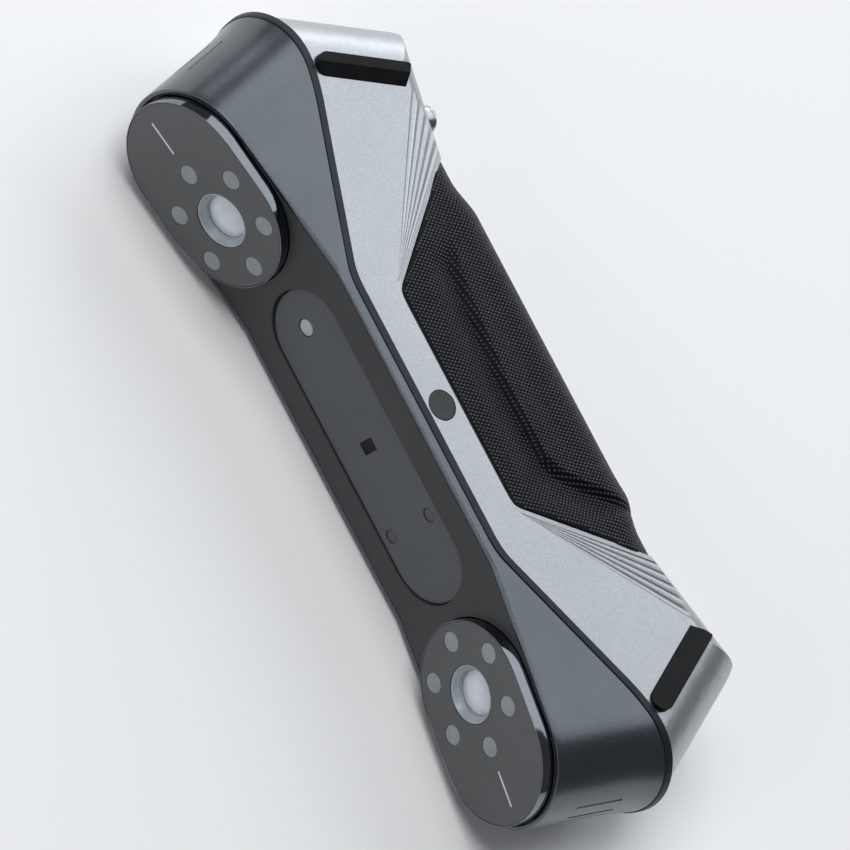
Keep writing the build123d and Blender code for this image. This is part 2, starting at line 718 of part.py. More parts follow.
# ---- assembly -------------------------------------------------------------------------------------
def pieces():
    """Every piece about the optical origin, by node name."""
    found = {
        "front_housing": front_housing(),
        "front_plate": front_plate(),
        "center_panel": center_panel(),
        "seam_band": seam_band(),
        "rear_shell": rear_shell(),
        "grip_sleeve": grip_sleeve(),
        "grip_frame": grip_frame(),
        "colour_window": colour_window(),
        "laser_window": laser_window(),
        "sensor_windows": sensor_windows(),
        "colour_camera": colour_camera(),
        "laser_module": laser_module(),
        "optical_bench": optical_bench(),
        "bench_screws": bench_screws(),
        "main_board": main_board(),
        "board_spacers": board_spacers(),
        "board_screws": board_screws(),
        "processor": processor(),
        "heat_sink": heat_sink(),
        "shell_screws": shell_screws(),
        "tripod_inserts": tripod_inserts(),
        "side_plug": side_plug(),
        "button_board": button_board(),
        "button_board_screws": button_board_screws(),
        "button_switches": button_switches(),
        "port_surround": port_surround(),
        "usb_socket": usb_socket(),
    }
    head_pieces = {
        "window": window,
        "bezel": bezel,
        "led_windows": led_windows,
        "led_chips": led_chips,
        "led_board": led_board,
        "lens_barrel": lens_barrel,
        "front_lens": front_lens,
        "lens_holder": lens_holder,
        "camera_board": camera_board,
        "image_sensor": image_sensor,
    }
    both_ends = {name: head(make()) for name, make in head_pieces.items()}
    both_ends["camera_flex"] = camera_flex()
    both_ends["tie_post"] = tie_post()
    both_ends["foot_upper"] = foot()
    both_ends["foot_lower"] = other_side(foot())
    for name, shape in both_ends.items():
        found[f"bottom_{name}"] = shape
        found[f"top_{name}"] = other_end(shape)
    for name, (z, radius) in BUTTONS.items():
        found[name] = button(z, radius)
    return found


def write(found):
    """Move every piece so that the whole object's box stands on z = 0, centred in x and y."""
    os.makedirs("parts", exist_ok=True)
    whole = Compound(children=[solid for shape in found.values() for solid in shape.solids()])
    box = whole.bounding_box()
    shift = Pos(0, -(box.min.Y + box.max.Y) / 2, -box.min.Z)
    print("shift", [round(v, 4) for v in shift.position], "size", [round(v, 2) for v in box.size])
    for name, shape in found.items():
        solids = (shift * shape).solids()
        whole_piece = solids[0] if len(solids) == 1 else Compound(children=list(solids))
        export_step(whole_piece, f"parts/{name}.step")


write(pieces())
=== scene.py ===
"""A handheld 3-D scanner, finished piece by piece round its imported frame, in the order it is put together.

Pieces are drawn in millimetres about the optical origin, midway between the two lens faces and on the
body's middle plane: X along the body, -Y where the cameras look, Z across. The +X head is the bottom.
"""

import bmesh
import bpy
import numpy as np
from math import cos, pi, radians, sin, sqrt, tan
from mathutils import Matrix, Vector


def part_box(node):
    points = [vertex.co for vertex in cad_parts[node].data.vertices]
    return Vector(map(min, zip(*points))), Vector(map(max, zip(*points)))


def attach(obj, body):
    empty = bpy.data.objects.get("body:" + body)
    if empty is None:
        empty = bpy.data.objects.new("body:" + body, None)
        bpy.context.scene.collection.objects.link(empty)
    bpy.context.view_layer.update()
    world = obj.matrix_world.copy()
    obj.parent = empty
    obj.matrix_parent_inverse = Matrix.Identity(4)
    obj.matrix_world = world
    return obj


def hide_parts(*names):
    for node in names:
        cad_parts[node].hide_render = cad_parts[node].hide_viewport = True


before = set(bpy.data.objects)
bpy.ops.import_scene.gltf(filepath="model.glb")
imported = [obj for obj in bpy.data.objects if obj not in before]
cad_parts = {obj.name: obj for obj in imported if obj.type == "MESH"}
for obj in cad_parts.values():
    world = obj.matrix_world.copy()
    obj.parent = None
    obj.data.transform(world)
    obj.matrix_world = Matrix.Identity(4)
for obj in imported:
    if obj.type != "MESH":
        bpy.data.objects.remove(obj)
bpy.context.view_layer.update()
scene = bpy.context.scene

# ---- studio ---------------------------------------------------------------------------------------
# A white floor, one large softbox beyond the grip, one overhead, a low strip towards the top head and a
# weak fill in front. The camera is a long lens that looks down on the scanner, rolled so that the body
# stands upright in its view.
PANEL_Y = 7.85
optical_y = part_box("center_panel")[0].y * 1000 - PANEL_Y
middle_z = sum(corner.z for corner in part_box("front_housing")) * 500
ORIGIN = np.array((0.0, optical_y, middle_z))
EYE = (70.7024, -930.5829, 1123.6797)
FOCAL_LENGTH, SENSOR_WIDTH = 257.28, 36.0
camera_eye = Vector((np.array(EYE) + ORIGIN) / 1000)
camera_right = Vector((0.4655684, 0.6876076, 0.5571731))
camera_up = Vector((-0.8837625, 0.3277702, 0.3339620))
camera_back = Vector((0.0470101, -0.6478908, 0.7602812))
camera = bpy.data.objects.new("camera", bpy.data.cameras.new("camera"))
camera.data.lens = FOCAL_LENGTH
camera.data.sensor_width = SENSOR_WIDTH
camera_axes = Matrix((camera_right, camera_up, camera_back)).transposed()
camera.matrix_world = Matrix.Translation(camera_eye) @ camera_axes.to_4x4()
scene.collection.objects.link(camera)
scene.camera = camera
scene.view_settings.view_transform = "Standard"

SKY_COLOUR, SKY_STRENGTH = (0.80, 0.90, 1.0, 1), 0.12
world = bpy.data.worlds.new("studio")
world.use_nodes = True
world.node_tree.nodes["Background"].inputs["Color"].default_value = SKY_COLOUR
world.node_tree.nodes["Background"].inputs["Strength"].default_value = SKY_STRENGTH
scene.world = world

LAMPS = (
    ("softbox_back", (-0.45, 1.50, 1.25), (2.5, 1.7), 19.5, (0.94, 0.975, 1.0)),
    ("softbox_top", (-0.75, -0.30, 1.9), (1.4, 1.4), 27.0, (0.97, 0.99, 1.0)),
    ("strip_top_head", (-1.35, 1.45, 0.32), (1.3, 0.5), 7.0, (0.94, 0.975, 1.0)),
    ("fill_front", (-0.3, -1.8, 0.8), (0.9, 0.9), 5.0, (1.0, 0.99, 0.97)),
)
for lamp_name, lamp_place, lamp_size, lamp_watts, lamp_colour in LAMPS:
    lamp = bpy.data.objects.new(lamp_name, bpy.data.lights.new(lamp_name, "AREA"))
    lamp.data.shape = "RECTANGLE"
    lamp.data.size, lamp.data.size_y = lamp_size
    lamp.data.energy = lamp_watts
    lamp.data.color = lamp_colour
    lamp.location = lamp_place
    lamp.rotation_mode = "QUATERNION"
    lamp.rotation_quaternion = Vector(lamp_place).to_track_quat("Z", "Y")
    scene.collection.objects.link(lamp)


def new_material(name):
    """A node material, its node tree and its shader."""
    material = bpy.data.materials.new(name)
    material.use_nodes = True
    tree = material.node_tree
    shader = tree.nodes["Principled BSDF"]
    return material, tree, shader


FLOOR_REACH = 4.0
floor_corners = [(x * FLOOR_REACH, y * FLOOR_REACH, 0) for x, y in ((-1, -1), (1, -1), (1, 1), (-1, 1))]
floor_mesh = bpy.data.meshes.new("studio_floor")
floor_mesh.from_pydata(floor_corners, [], [(0, 1, 2, 3)])
sweep = bpy.data.objects.new("studio_floor", floor_mesh)
scene.collection.objects.link(sweep)
floor_paint, _, floor_shader = new_material("sweep_paint")
floor_shader.inputs["Base Color"].default_value = (0.97, 0.965, 0.96, 1)
floor_shader.inputs["Roughness"].default_value = 0.9
floor_shader.inputs["Specular IOR Level"].default_value = 0.1
floor_mesh.materials.append(floor_paint)

# ---- front housing --------------------------------------------------------------------------------
# A bead-blasted gunmetal band round the front: straight at the waist, flared at both ends, with a thin
# lip round the plate and four breather slots through each end. Die cast, then painted satin.
HALF_WAIST, HALF_HEAD, WAIST_X = 20.9, 20.1, 36.0
HEAD_X, HEAD_Y, HEAD_LEAN = 79.2, -2.5, 0.2444
TOE, LENS_X = radians(9.86), 64.4
RIM_Y, RIM_BEND_X = 7.8, 39.7
SEAM_STATIONS = (33.88, 40.66, 78.44, 101.03)
SEAM_LOW, SEAM_HIGH, WAIST_BEND, HEAD_BEND = 12.4, 33.5, 18.0, 60.0
SEAM_RISE_X, SEAM_RISE = 37.4, 0.40655
SEAM_WIDTH, SEAM_CLEAR = 2.2, 0.12
LIP, WALL, LEDGE = 1.1, 2.0, 2.2
COVE, COVE_START, WALL_ROWS = 0.75, 0.70, 12
VENT_X, VENT_Y, VENT_Z, VENT_HALF = (92, 112), (7.0, 21.0), (-6.9, -2.3, 2.3, 6.9), 0.38
OUTLINE_STEPS = (18, 44, 30)


def placed(points):
    """Millimetres about the optical origin to metres in the row frame."""
    return (np.asarray(points, float) + ORIGIN) / 1000


def linked(name, mesh):
    made = bpy.data.objects.new(name, mesh)
    scene.collection.objects.link(made)
    return made


def solid(name, points, faces, weld=2e-6):
    """A mesh object from points in millimetres, welded, with its faces turned outward."""
    mesh = bpy.data.meshes.new(name)
    mesh.from_pydata(placed(points).tolist(), [], [list(map(int, face)) for face in faces])
    work = bmesh.new()
    work.from_mesh(mesh)
    bmesh.ops.remove_doubles(work, verts=work.verts, dist=weld)
    bmesh.ops.recalc_face_normals(work, faces=work.faces)
    work.to_mesh(mesh)
    work.free()
    return linked(name, mesh)


def ring_rows(rows, wrap=False, caps=True):
    """Points and faces of closed loops of equal count, one after another: a tube, capped or wrapped round."""
    count = len(rows[0])
    points = np.concatenate(rows)
    faces = []
    steps = len(rows) if wrap else len(rows) - 1
    for i in range(steps):
        a, b = i * count, (i + 1) % len(rows) * count
        faces += [(a + j, a + (j + 1) % count, b + (j + 1) % count, b + j) for j in range(count)]
    if caps and not wrap:
        faces += [tuple(range(count)), tuple(range(len(points) - count, len(points)))]
    return points, faces


def baked(piece):
    """Put the result of a piece's modifiers into its mesh and take them off."""
    bpy.context.view_layer.update()
    result = bpy.data.meshes.new_from_object(piece.evaluated_get(bpy.context.evaluated_depsgraph_get()))
    piece.modifiers.clear()
    piece.data = result
    return piece


def carved(piece, *cutters):
    """Cut pieces away from a piece, and remove them."""
    for cutter in cutters:
        cut = piece.modifiers.new("cut", "BOOLEAN")
        cut.operation = "DIFFERENCE"
        cut.solver = "EXACT"
        cut.object = cutter
    baked(piece)
    for cutter in cutters:
        bpy.data.objects.remove(cutter)
    return piece


def finished(piece, material, slot, *nodes, body="root", crease=32.0):
    """Smooth a piece up to a crease angle, give it its material, and let it stand for its CAD nodes."""
    mesh = piece.data
    mesh.materials.clear()
    mesh.materials.append(material)
    mesh.polygons.foreach_set("material_index", [0] * len(mesh.polygons))
    mesh.polygons.foreach_set("use_smooth", [True] * len(mesh.polygons))
    mesh.set_sharp_from_angle(angle=radians(crease))
    weights = piece.modifiers.new("even_normals", "WEIGHTED_NORMAL")
    weights.keep_sharp = True
    baked(piece)
    if nodes:
        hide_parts(*nodes)
    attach(piece, body)
    return piece


def outline(line, inset, flare=None, rounds=6):
    """One loop round the body at a side-view line y(x), from the middle of the upper side round to it.

    A head's round end leans with depth, so each point is settled on the line in a few rounds.
    """
    flat, taper, turn = OUTLINE_STEPS
    stations = [("flat", x) for x in np.linspace(0, WAIST_X, flat, endpoint=False)]
    stations += [("taper", f) for f in np.linspace(0, 1, taper, endpoint=False)]
    stations += [("turn", a) for a in np.linspace(pi / 2, 0, turn)]
    points = []
    for kind, value in stations:
        x, y, z = 90.0, 30.0, 0.0
        for _ in range(rounds):
            end_x = HEAD_X + HEAD_LEAN * (y - HEAD_Y)
            swell = inset - (flare(value) if flare and kind == "turn" else 0.0)
            if kind == "flat":
                x, z = value, HALF_WAIST - swell
            elif kind == "taper":
                x = WAIST_X + value * (end_x - WAIST_X)
                z = HALF_WAIST - swell + value * (HALF_HEAD - HALF_WAIST)
            else:
                x = end_x + (HALF_HEAD - swell) * cos(value)
                z = (HALF_HEAD - swell) * sin(value)
            y = line(x)
        points.append((x, y, z))
    quarter_loop = np.array(points)
    back = quarter_loop[::-1]
    return np.concatenate([
        quarter_loop,
        (back * (1, 1, -1))[1:],
        (quarter_loop * (-1, 1, -1))[1:],
        (back * (-1, 1, 1))[1:-1],
    ])


def rim_y(x):
    """The front rim: flat at the waist, square to each tilted head."""
    return RIM_Y - max(0.0, abs(x) - RIM_BEND_X) * tan(TOE)


def seam_y(x):
    """The seam's back edge: low at the waist, rising to the ends in easy bends."""
    a = abs(x)
    flat_end, bend_end, rise_end, crown = SEAM_STATIONS
    if a < flat_end:
        return SEAM_LOW
    if a < bend_end:
        return SEAM_LOW + WAIST_BEND - sqrt(WAIST_BEND ** 2 - (a - flat_end) ** 2)
    if a < rise_end:
        return SEAM_LOW + (a - SEAM_RISE_X) * SEAM_RISE
    if a < crown:
        return SEAM_HIGH - HEAD_BEND + sqrt(HEAD_BEND ** 2 - (crown - a) ** 2)
    return SEAM_HIGH


def block(name, low, high):
    """A plain box cutter between two corners."""
    (x0, y0, z0), (x1, y1, z1) = low, high
    corners = [(x, y, z) for z in (z0, z1) for x, y in ((x0, y0), (x1, y0), (x1, y1), (x0, y1))]
    sides = [(i, (i + 1) % 4, (i + 1) % 4 + 4, i + 4) for i in range(4)]
    return solid(name, corners, [(0, 1, 2, 3), (4, 5, 6, 7)] + sides)


def surface_coordinates(tree, scale):
    """Object coordinates, scaled so that noise scales read in millimetres."""
    coordinates = tree.nodes.new("ShaderNodeTexCoord")
    mapping = tree.nodes.new("ShaderNodeMapping")
    mapping.inputs["Scale"].default_value = scale
    tree.links.new(coordinates.outputs["Object"], mapping.inputs["Vector"])
    return mapping.outputs["Vector"]


def noise(tree, vector, size, detail=3.0, roughness=0.55):
    """Noise whose blobs are about size millimetres across."""
    node = tree.nodes.new("ShaderNodeTexNoise")
    node.inputs["Scale"].default_value = 1000.0 / size
    node.inputs["Detail"].default_value = detail
    node.inputs["Roughness"].default_value = roughness
    tree.links.new(vector, node.inputs["Vector"])
    return node.outputs["Fac"]


def spread(tree, value, low, high, from_low=0.3, from_high=0.7):
    """Map a 0-1 pattern to a range."""
    node = tree.nodes.new("ShaderNodeMapRange")
    node.inputs["From Min"].default_value = from_low
    node.inputs["From Max"].default_value = from_high
    node.inputs["To Min"].default_value = low
    node.inputs["To Max"].default_value = high
    tree.links.new(value, node.inputs["Value"])
    return node.outputs["Result"]


def two_tone(tree, factor, first, second):
    """Mix two colours by a pattern."""
    node = tree.nodes.new("ShaderNodeMix")
    node.data_type = "RGBA"
    tree.links.new(factor, node.inputs["Factor"])
    node.inputs["A"].default_value = (*first, 1)
    node.inputs["B"].default_value = (*second, 1)
    return node.outputs["Result"]


FLAKE_SIZE = 0.22


def grained(name, dark, light, rough, metal=0.0, grain=0.25, bump=0.02, cloud=14.0, flakes=0.0, coat=0.0,
            specular=0.5, stretch=(1, 1, 1), coat_rough=0.08):
    """A moulded, blasted or painted finish: cloudy two-tone colour, fine grain, and flakes where it has them.

    Sizes are millimetres: grain and cloud across, bump in depth.
    """
    material, tree, shader = new_material(name)
    vector = surface_coordinates(tree, stretch)
    clouds = noise(tree, vector, cloud, 4.0)
    fine = noise(tree, vector, grain, 2.0, 0.7)
    colour = two_tone(tree, spread(tree, clouds, 0.0, 1.0), dark, light)
    if flakes:
        cells = tree.nodes.new("ShaderNodeTexVoronoi")
        cells.inputs["Scale"].default_value = 1000.0 / FLAKE_SIZE
        tree.links.new(vector, cells.inputs["Vector"])
        glint = spread(tree, cells.outputs["Color"], 1.0 - flakes, 1.0 + flakes, 0.0, 1.0)
        shine = tree.nodes.new("ShaderNodeMix")
        shine.data_type = "RGBA"
        shine.blend_type = "MULTIPLY"
        shine.inputs["Factor"].default_value = 1.0
        tree.links.new(colour, shine.inputs["A"])
        tree.links.new(glint, shine.inputs["B"])
        colour = shine.outputs["Result"]
    tree.links.new(colour, shader.inputs["Base Color"])
    tree.links.new(spread(tree, fine, rough * 0.82, rough * 1.18), shader.inputs["Roughness"])
    relief = tree.nodes.new("ShaderNodeBump")
    relief.inputs["Strength"].default_value = 0.5
    relief.inputs["Distance"].default_value = bump / 1000
    tree.links.new(fine, relief.inputs["Height"])
    tree.links.new(relief.outputs["Normal"], shader.inputs["Normal"])
    shader.inputs["Metallic"].default_value = metal
    shader.inputs["Specular IOR Level"].default_value = specular
    shader.inputs["Coat Weight"].default_value = coat
    shader.inputs["Coat Roughness"].default_value = coat_rough
    return material


def cove(angle):
    """How far the housing swells towards the seam round the ends."""
    return COVE * sin(angle - pi / 2) ** 2 if angle < pi / 2 else 0.0


gunmetal = grained("gunmetal_satin", (0.116, 0.129, 0.143), (0.134, 0.147, 0.161), 0.27, metal=0.9,
                   grain=0.18, bump=0.006, cloud=22.0, flakes=0.06)
RIM_ROUND = 0.30
rim_profile = ((LEDGE, LIP), (0.20, LIP), (0.05, LIP - 0.06), (0.0, LIP - 0.22),
               (0.0, RIM_ROUND), (0.09, 0.09), (RIM_ROUND, 0.0))
housing_rows = [outline(lambda x, d=depth: rim_y(x) + d, inset) for depth, inset in rim_profile]
for share in np.linspace(0.08, 1.0, WALL_ROWS):
    growth = max(0.0, (share - COVE_START) / (1 - COVE_START)) ** 2
    housing_rows.append(outline(
        lambda x, s=share: (1 - s) * (rim_y(x) + RIM_ROUND) + s * (seam_y(x) - SEAM_WIDTH - SEAM_CLEAR),
        0.0, lambda angle, g=growth: cove(angle) * g))
housing_rows += [
    outline(lambda x: seam_y(x) - SEAM_WIDTH, SEAM_CLEAR, cove),
    outline(lambda x: seam_y(x) - SEAM_WIDTH, WALL),
    outline(lambda x: rim_y(x) + LEDGE, WALL),
]
housing = solid("front_housing_skin", *ring_rows(housing_rows, wrap=True))
vents = []
for end in (-1, 1):
    near, far = sorted(end * x for x in VENT_X)
    for z in VENT_Z:
        low, high = (near, VENT_Y[0], z - VENT_HALF), (far, VENT_Y[1], z + VENT_HALF)
        vents.append(block(f"vent_{end}_{z}", low, high))
carved(housing, *vents)
finished(housing, gunmetal, "gunmetal", "front_housing")

# ---- seam band ------------------------------------------------------------------------------------
# A dark gasket band between the two housings, standing a little proud of both and softly rounded.
seam_dark = grained("seam_rubber", (0.010, 0.015, 0.021), (0.015, 0.021, 0.028), 0.42, grain=0.3,
                    bump=0.01, cloud=9.0, specular=0.3)
SEAM_PROUD = 0.3
SEAM_PROFILE = ((2.18, 0.5), (2.12, 0.12), (1.95, 0.0), (1.5, 0.0), (1.0, 0.0), (0.5, 0.0), (0.17, 0.0),
                (0.05, 0.12), (0.0, 0.4))
seam_rows = [outline(lambda x: seam_y(x) - SEAM_WIDTH + 0.02, WALL)]
for back, down in SEAM_PROFILE:
    seam_rows.append(outline(lambda x, b=back: seam_y(x) - b, down - SEAM_PROUD, cove))
seam_rows.append(outline(seam_y, WALL))
seam = solid("seam_band_skin", *ring_rows(seam_rows, wrap=True))
finished(seam, seam_dark, "seam_dark", "seam_band")

# ---- front plate ----------------------------------------------------------------------------------
# One matt moulded plate inside the housing's lip, slightly crowned across, seated round both camera
# pods and pocketed for the centre panel. The pocket's edge has a fine chamfer.
PLATE_INSET, PLATE_MIDDLE, CROWN = LIP + 0.12, 20.5, 0.9
EDGE_DROP = 0.06
PLATE_INSETS = (PLATE_INSET + 0.2, 1.7, 2.4, 3.4, 4.8, 6.4, 8.2, 10.2, 12.4, 14.6, 16.8, 18.6, 20.0)
POD_MIDDLE, POD_HALF, POD_R = 7.5, 7.2, 18.6
PANEL_HALF, PANEL_R = 30.35, 11.9
POCKET_GAP, SEAT_GAP = 0.16, 0.26


def bridged(start):
    """Faces that close a loop of outline() across its middle line."""
    m = sum(OUTLINE_STEPS)
    n, near = 4 * m - 4, 2 * m - 2
    faces = [(i, i + 1, near - 1 - i, near - i) for i in range(m - 2)]
    faces.append((m - 2, m - 1, m))
    faces += [(near + i, near + i + 1, (n - i - 1) % n, (n - i) % n) for i in range(m - 2)]
    faces.append((near + m - 2, near + m - 1, (n - m + 2) % n))
    return [tuple(start + i for i in face) for face in faces]


def crowned(inset):
    """How far the plate stands proud of the rim at an inset from the body's outline."""
    return CROWN * (1 - ((PLATE_MIDDLE - inset) / (PLATE_MIDDLE - PLATE_INSET)) ** 2)


def stadium(half_gap, radius, y, centre=0.0, turns=28, runs=26):
    """A stadium loop in (x, z) at one y; y may be a function of x and z."""
    angles = np.linspace(-pi / 2, pi / 2, turns)
    right = [(centre + half_gap + radius * cos(a), radius * sin(a)) for a in angles]
    left = [(centre - half_gap - radius * cos(a), -radius * sin(a)) for a in angles]
    straight = np.linspace(1, -1, runs)[1:-1]
    loop = right + [(centre + half_gap * f, radius) for f in straight]
    loop += left + [(centre - half_gap * f, -radius) for f in straight]
    return np.array([(x, y(x, z) if callable(y) else y, z) for x, z in loop])


def to_head(points, end):
    """Points about a lens centre (outward, into the body, across) to the optical frame, at one end."""
    u, y, z = np.asarray(points, float).T
    return np.stack([end * (LENS_X + u * cos(TOE) + y * sin(TOE)), y * cos(TOE) - u * sin(TOE), z], axis=1)


front_matt = grained("plate_matt", (0.026, 0.029, 0.031), (0.031, 0.034, 0.037), 0.50, grain=0.16,
                     bump=0.012, cloud=18.0, specular=0.45)
edge_inset = PLATE_INSET + 0.05
plate_rows = [outline(lambda x, d=depth: rim_y(x) + d, PLATE_INSET) for depth in (LEDGE, 0.2)]
plate_rows.append(outline(lambda x: rim_y(x) + EDGE_DROP - crowned(edge_inset), edge_inset))
plate_rows += [outline(lambda x, i=inset: rim_y(x) - crowned(i), inset) for inset in PLATE_INSETS]
plate_points, plate_faces = ring_rows(plate_rows, caps=False)
plate_faces += bridged(0) + bridged(len(plate_points) - len(plate_rows[0]))
plate = solid("front_plate_skin", plate_points, plate_faces)


def plate_y(x, z):
    """The plate's crowned surface over the waist."""
    return rim_y(x) - crowned(max(PLATE_INSET, PLATE_MIDDLE - abs(z)))


pocket = solid("pocket_cut", *ring_rows([
    stadium(PANEL_HALF, PANEL_R + POCKET_GAP + 2.2, lambda x, z: plate_y(x, z) - 2.0),
    stadium(PANEL_HALF, PANEL_R + POCKET_GAP, lambda x, z: plate_y(x, z) + 0.22),
    stadium(PANEL_HALF, PANEL_R + POCKET_GAP, PANEL_Y + 1.25),
]))
seats = []
for end in (-1, 1):
    seat_rows = [to_head(stadium(POD_HALF, POD_R + SEAT_GAP, y, POD_MIDDLE), end) for y in (-9.0, 14.0)]
    seats.append(solid(f"seat_cut_{end}", *ring_rows(seat_rows)))
carved(plate, pocket, *seats)
finished(plate, front_matt, "front_matt", "front_plate")

# ---- centre panel and its windows -----------------------------------------------------------------
# A satin cover let into the plate, with a pale lens window, a black laser window and two faint sensor
# windows that sit just below its face. The windows are bonded from behind.
panel_satin = grained("panel_satin", (0.064, 0.071, 0.074), (0.075, 0.082, 0.087), 0.42, grain=0.14,
                      bump=0.010, cloud=26.0)
COLOUR_X, SENSOR_X, SENSOR_Z = -32.4, 21.7, 8.1
ROUND = 0.0001


def lathe(name, profile, place, segments=40, tube=False):
    """A turned piece from (radius, height) pairs; place maps its points to the optical frame."""
    angles = np.linspace(0, 2 * pi, segments, endpoint=False)
    rows = [np.stack([radius * np.cos(angles), np.full(segments, height), radius * np.sin(angles)], axis=1)
            for radius, height in profile]
    points, faces = ring_rows(rows, wrap=tube)
    return solid(name, place(points), faces)


def at_front(x, z):
    """Local points to a spot on the front, with height along +Y."""
    return lambda points: points + np.array((x, 0.0, z))


panel_rows = [stadium(PANEL_HALF, PANEL_R - d, y) for d, y in
              ((0.0, 9.0), (0.0, 8.15), (0.03, 8.0), (0.10, 7.90), (0.22, PANEL_Y))]
panel = solid("centre_panel_skin", *ring_rows(panel_rows))
panel_cuts = [lathe("colour_cut", ((2.75, 7.4), (2.35, 8.0), (2.35, 9.5)), at_front(COLOUR_X, 0), 48)]
panel_cuts += [lathe(f"sensor_cut_{z}", ((2.3, 7.4), (1.85, 7.93), (1.85, 8.15)), at_front(SENSOR_X, z), 40)
               for z in (-SENSOR_Z, SENSOR_Z)]
panel_cuts.append(block("laser_cut", (-1.68, 7.0, -2.48), (1.68, 9.6, 2.48)))
carved(panel, *panel_cuts)
finished(panel, panel_satin, "panel_satin", "center_panel")

pale_glass = grained("pale_window", (0.30, 0.34, 0.38), (0.40, 0.44, 0.48), 0.22, grain=0.5, bump=0.004,
                     cloud=2.2, coat=1.0)
colour_profile = ((2.28, 9.0), (2.28, 8.3), (2.1, 8.12), (1.6, 8.02), (0.8, 7.97), (0.2, 7.96))
colour_window = lathe("colour_window_glass", colour_profile, at_front(COLOUR_X, 0), 48)
finished(colour_window, pale_glass, "pale_window", "colour_window")
black_glass = grained("black_window", (0.0015, 0.0015, 0.002), (0.003, 0.003, 0.0035), 0.35, grain=0.4,
                      bump=0.002, cloud=2.0, specular=0.2)
laser_window = block("laser_window_glass", (-1.64, PANEL_Y + 0.3, -2.44), (1.64, PANEL_Y + 1.1, 2.44))
laser_edge = laser_window.modifiers.new("edge", "BEVEL")
laser_edge.width, laser_edge.segments = 0.00012, 2
finished(laser_window, black_glass, "black_window", "laser_window")
faint_glass = grained("faint_window", (0.050, 0.056, 0.060), (0.062, 0.068, 0.072), 0.30, grain=0.3,
                      bump=0.004, cloud=3.0)
sensor_profile = ((1.82, 8.7), (1.82, 8.18), (1.7, 8.10), (1.2, 8.06))
sensor_points, sensor_faces = [], []
for z in (-SENSOR_Z, SENSOR_Z):
    disc_rows = [stadium(ROUND, r, y, SENSOR_X) + (0, 0, z) for r, y in sensor_profile]
    disc_points, disc_faces = ring_rows(disc_rows)
    sensor_faces += [tuple(i + len(sensor_points) for i in face) for face in disc_faces]
    sensor_points += list(disc_points)
sensor_windows = solid("sensor_window_discs", sensor_points, sensor_faces)
finished(sensor_windows, faint_glass, "faint_window", "sensor_windows")

# ---- camera pods ----------------------------------------------------------------------------------
# Each head carries a polished bezel, a smoked pane let into it, six frosted lamp windows round the
# lens, and a short white index line printed on the long axis.
LENS_OPENING_R, LED_R, LED_RING_R = 7.4, 2.65, 13.5
LED_ANGLES = [i * pi / 3 for i in range(6)]
LED_PROFILE = ((2.60, -2.0), (2.60, -0.14), (2.54, -0.06), (2.40, -0.02), (1.6, -0.005), (0.6, 0.0))
BEZEL_PROFILE = (
    (18.28, 1.2), (18.28, 0.06), (18.31, 0.01), (18.35, 0.0), (18.44, 0.0), (18.48, 0.02), (18.5, 0.06),
    (18.58, 1.6), (18.66, 3.0), (18.6, 3.2), (18.4, 3.3), (16.9, 3.4), (16.9, 7.4), (15.7, 7.5), (15.7, 2.2))
PANE_PROFILE = ((18.20, 1.18), (18.20, 0.16), (18.17, 0.07), (18.10, 0.015), (17.95, 0.0))
MOUTH_PROFILE = ((8.4, -1.0), (LENS_OPENING_R + 0.18, -0.02), (LENS_OPENING_R, 0.16), (LENS_OPENING_R, 3.0))
INDEX_NEAR, INDEX_FAR, INDEX_HALF = 19.7, 28.8, 0.27
INDEX_PROFILE = ((0.0, 0.10), (0.0, -0.01), (0.03, -0.03))
bezel_gloss = grained("bezel_gloss", (0.19, 0.205, 0.225), (0.21, 0.225, 0.245), 0.07, metal=1.0,
                      grain=0.6, bump=0.002, cloud=12.0)
pane_dark = grained("pane_smoked", (0.052, 0.056, 0.060), (0.060, 0.065, 0.069), 0.34, grain=0.3,
                    bump=0.003, cloud=20.0, coat=0.35, coat_rough=0.25)
led_frost = grained("led_frosted", (0.24, 0.265, 0.29), (0.29, 0.315, 0.34), 0.38, grain=0.35, bump=0.012,
                    cloud=3.0)
line_white = grained("index_print", (0.62, 0.64, 0.66), (0.72, 0.74, 0.76), 0.45, grain=0.2, bump=0.003,
                     cloud=1.2)


def pod_loop(radius, y):
    return stadium(POD_HALF, radius, y, POD_MIDDLE)


def lamp_cut(name, end, low, high, radius=LED_R):
    """One cutter with the six lamp openings of a head."""
    points, faces = [], []
    for a in LED_ANGLES:
        rows = [[(LED_RING_R * cos(a) + radius * cos(t), y, LED_RING_R * sin(a) + radius * sin(t))
                 for t in np.linspace(0, 2 * pi, 36, endpoint=False)] for y in (low, high)]
        lamp_points, lamp_faces = ring_rows([np.array(row) for row in rows])
        faces += [tuple(i + len(points) for i in face) for face in lamp_faces]
        points += list(lamp_points)
    return solid(name, to_head(points, end), faces)


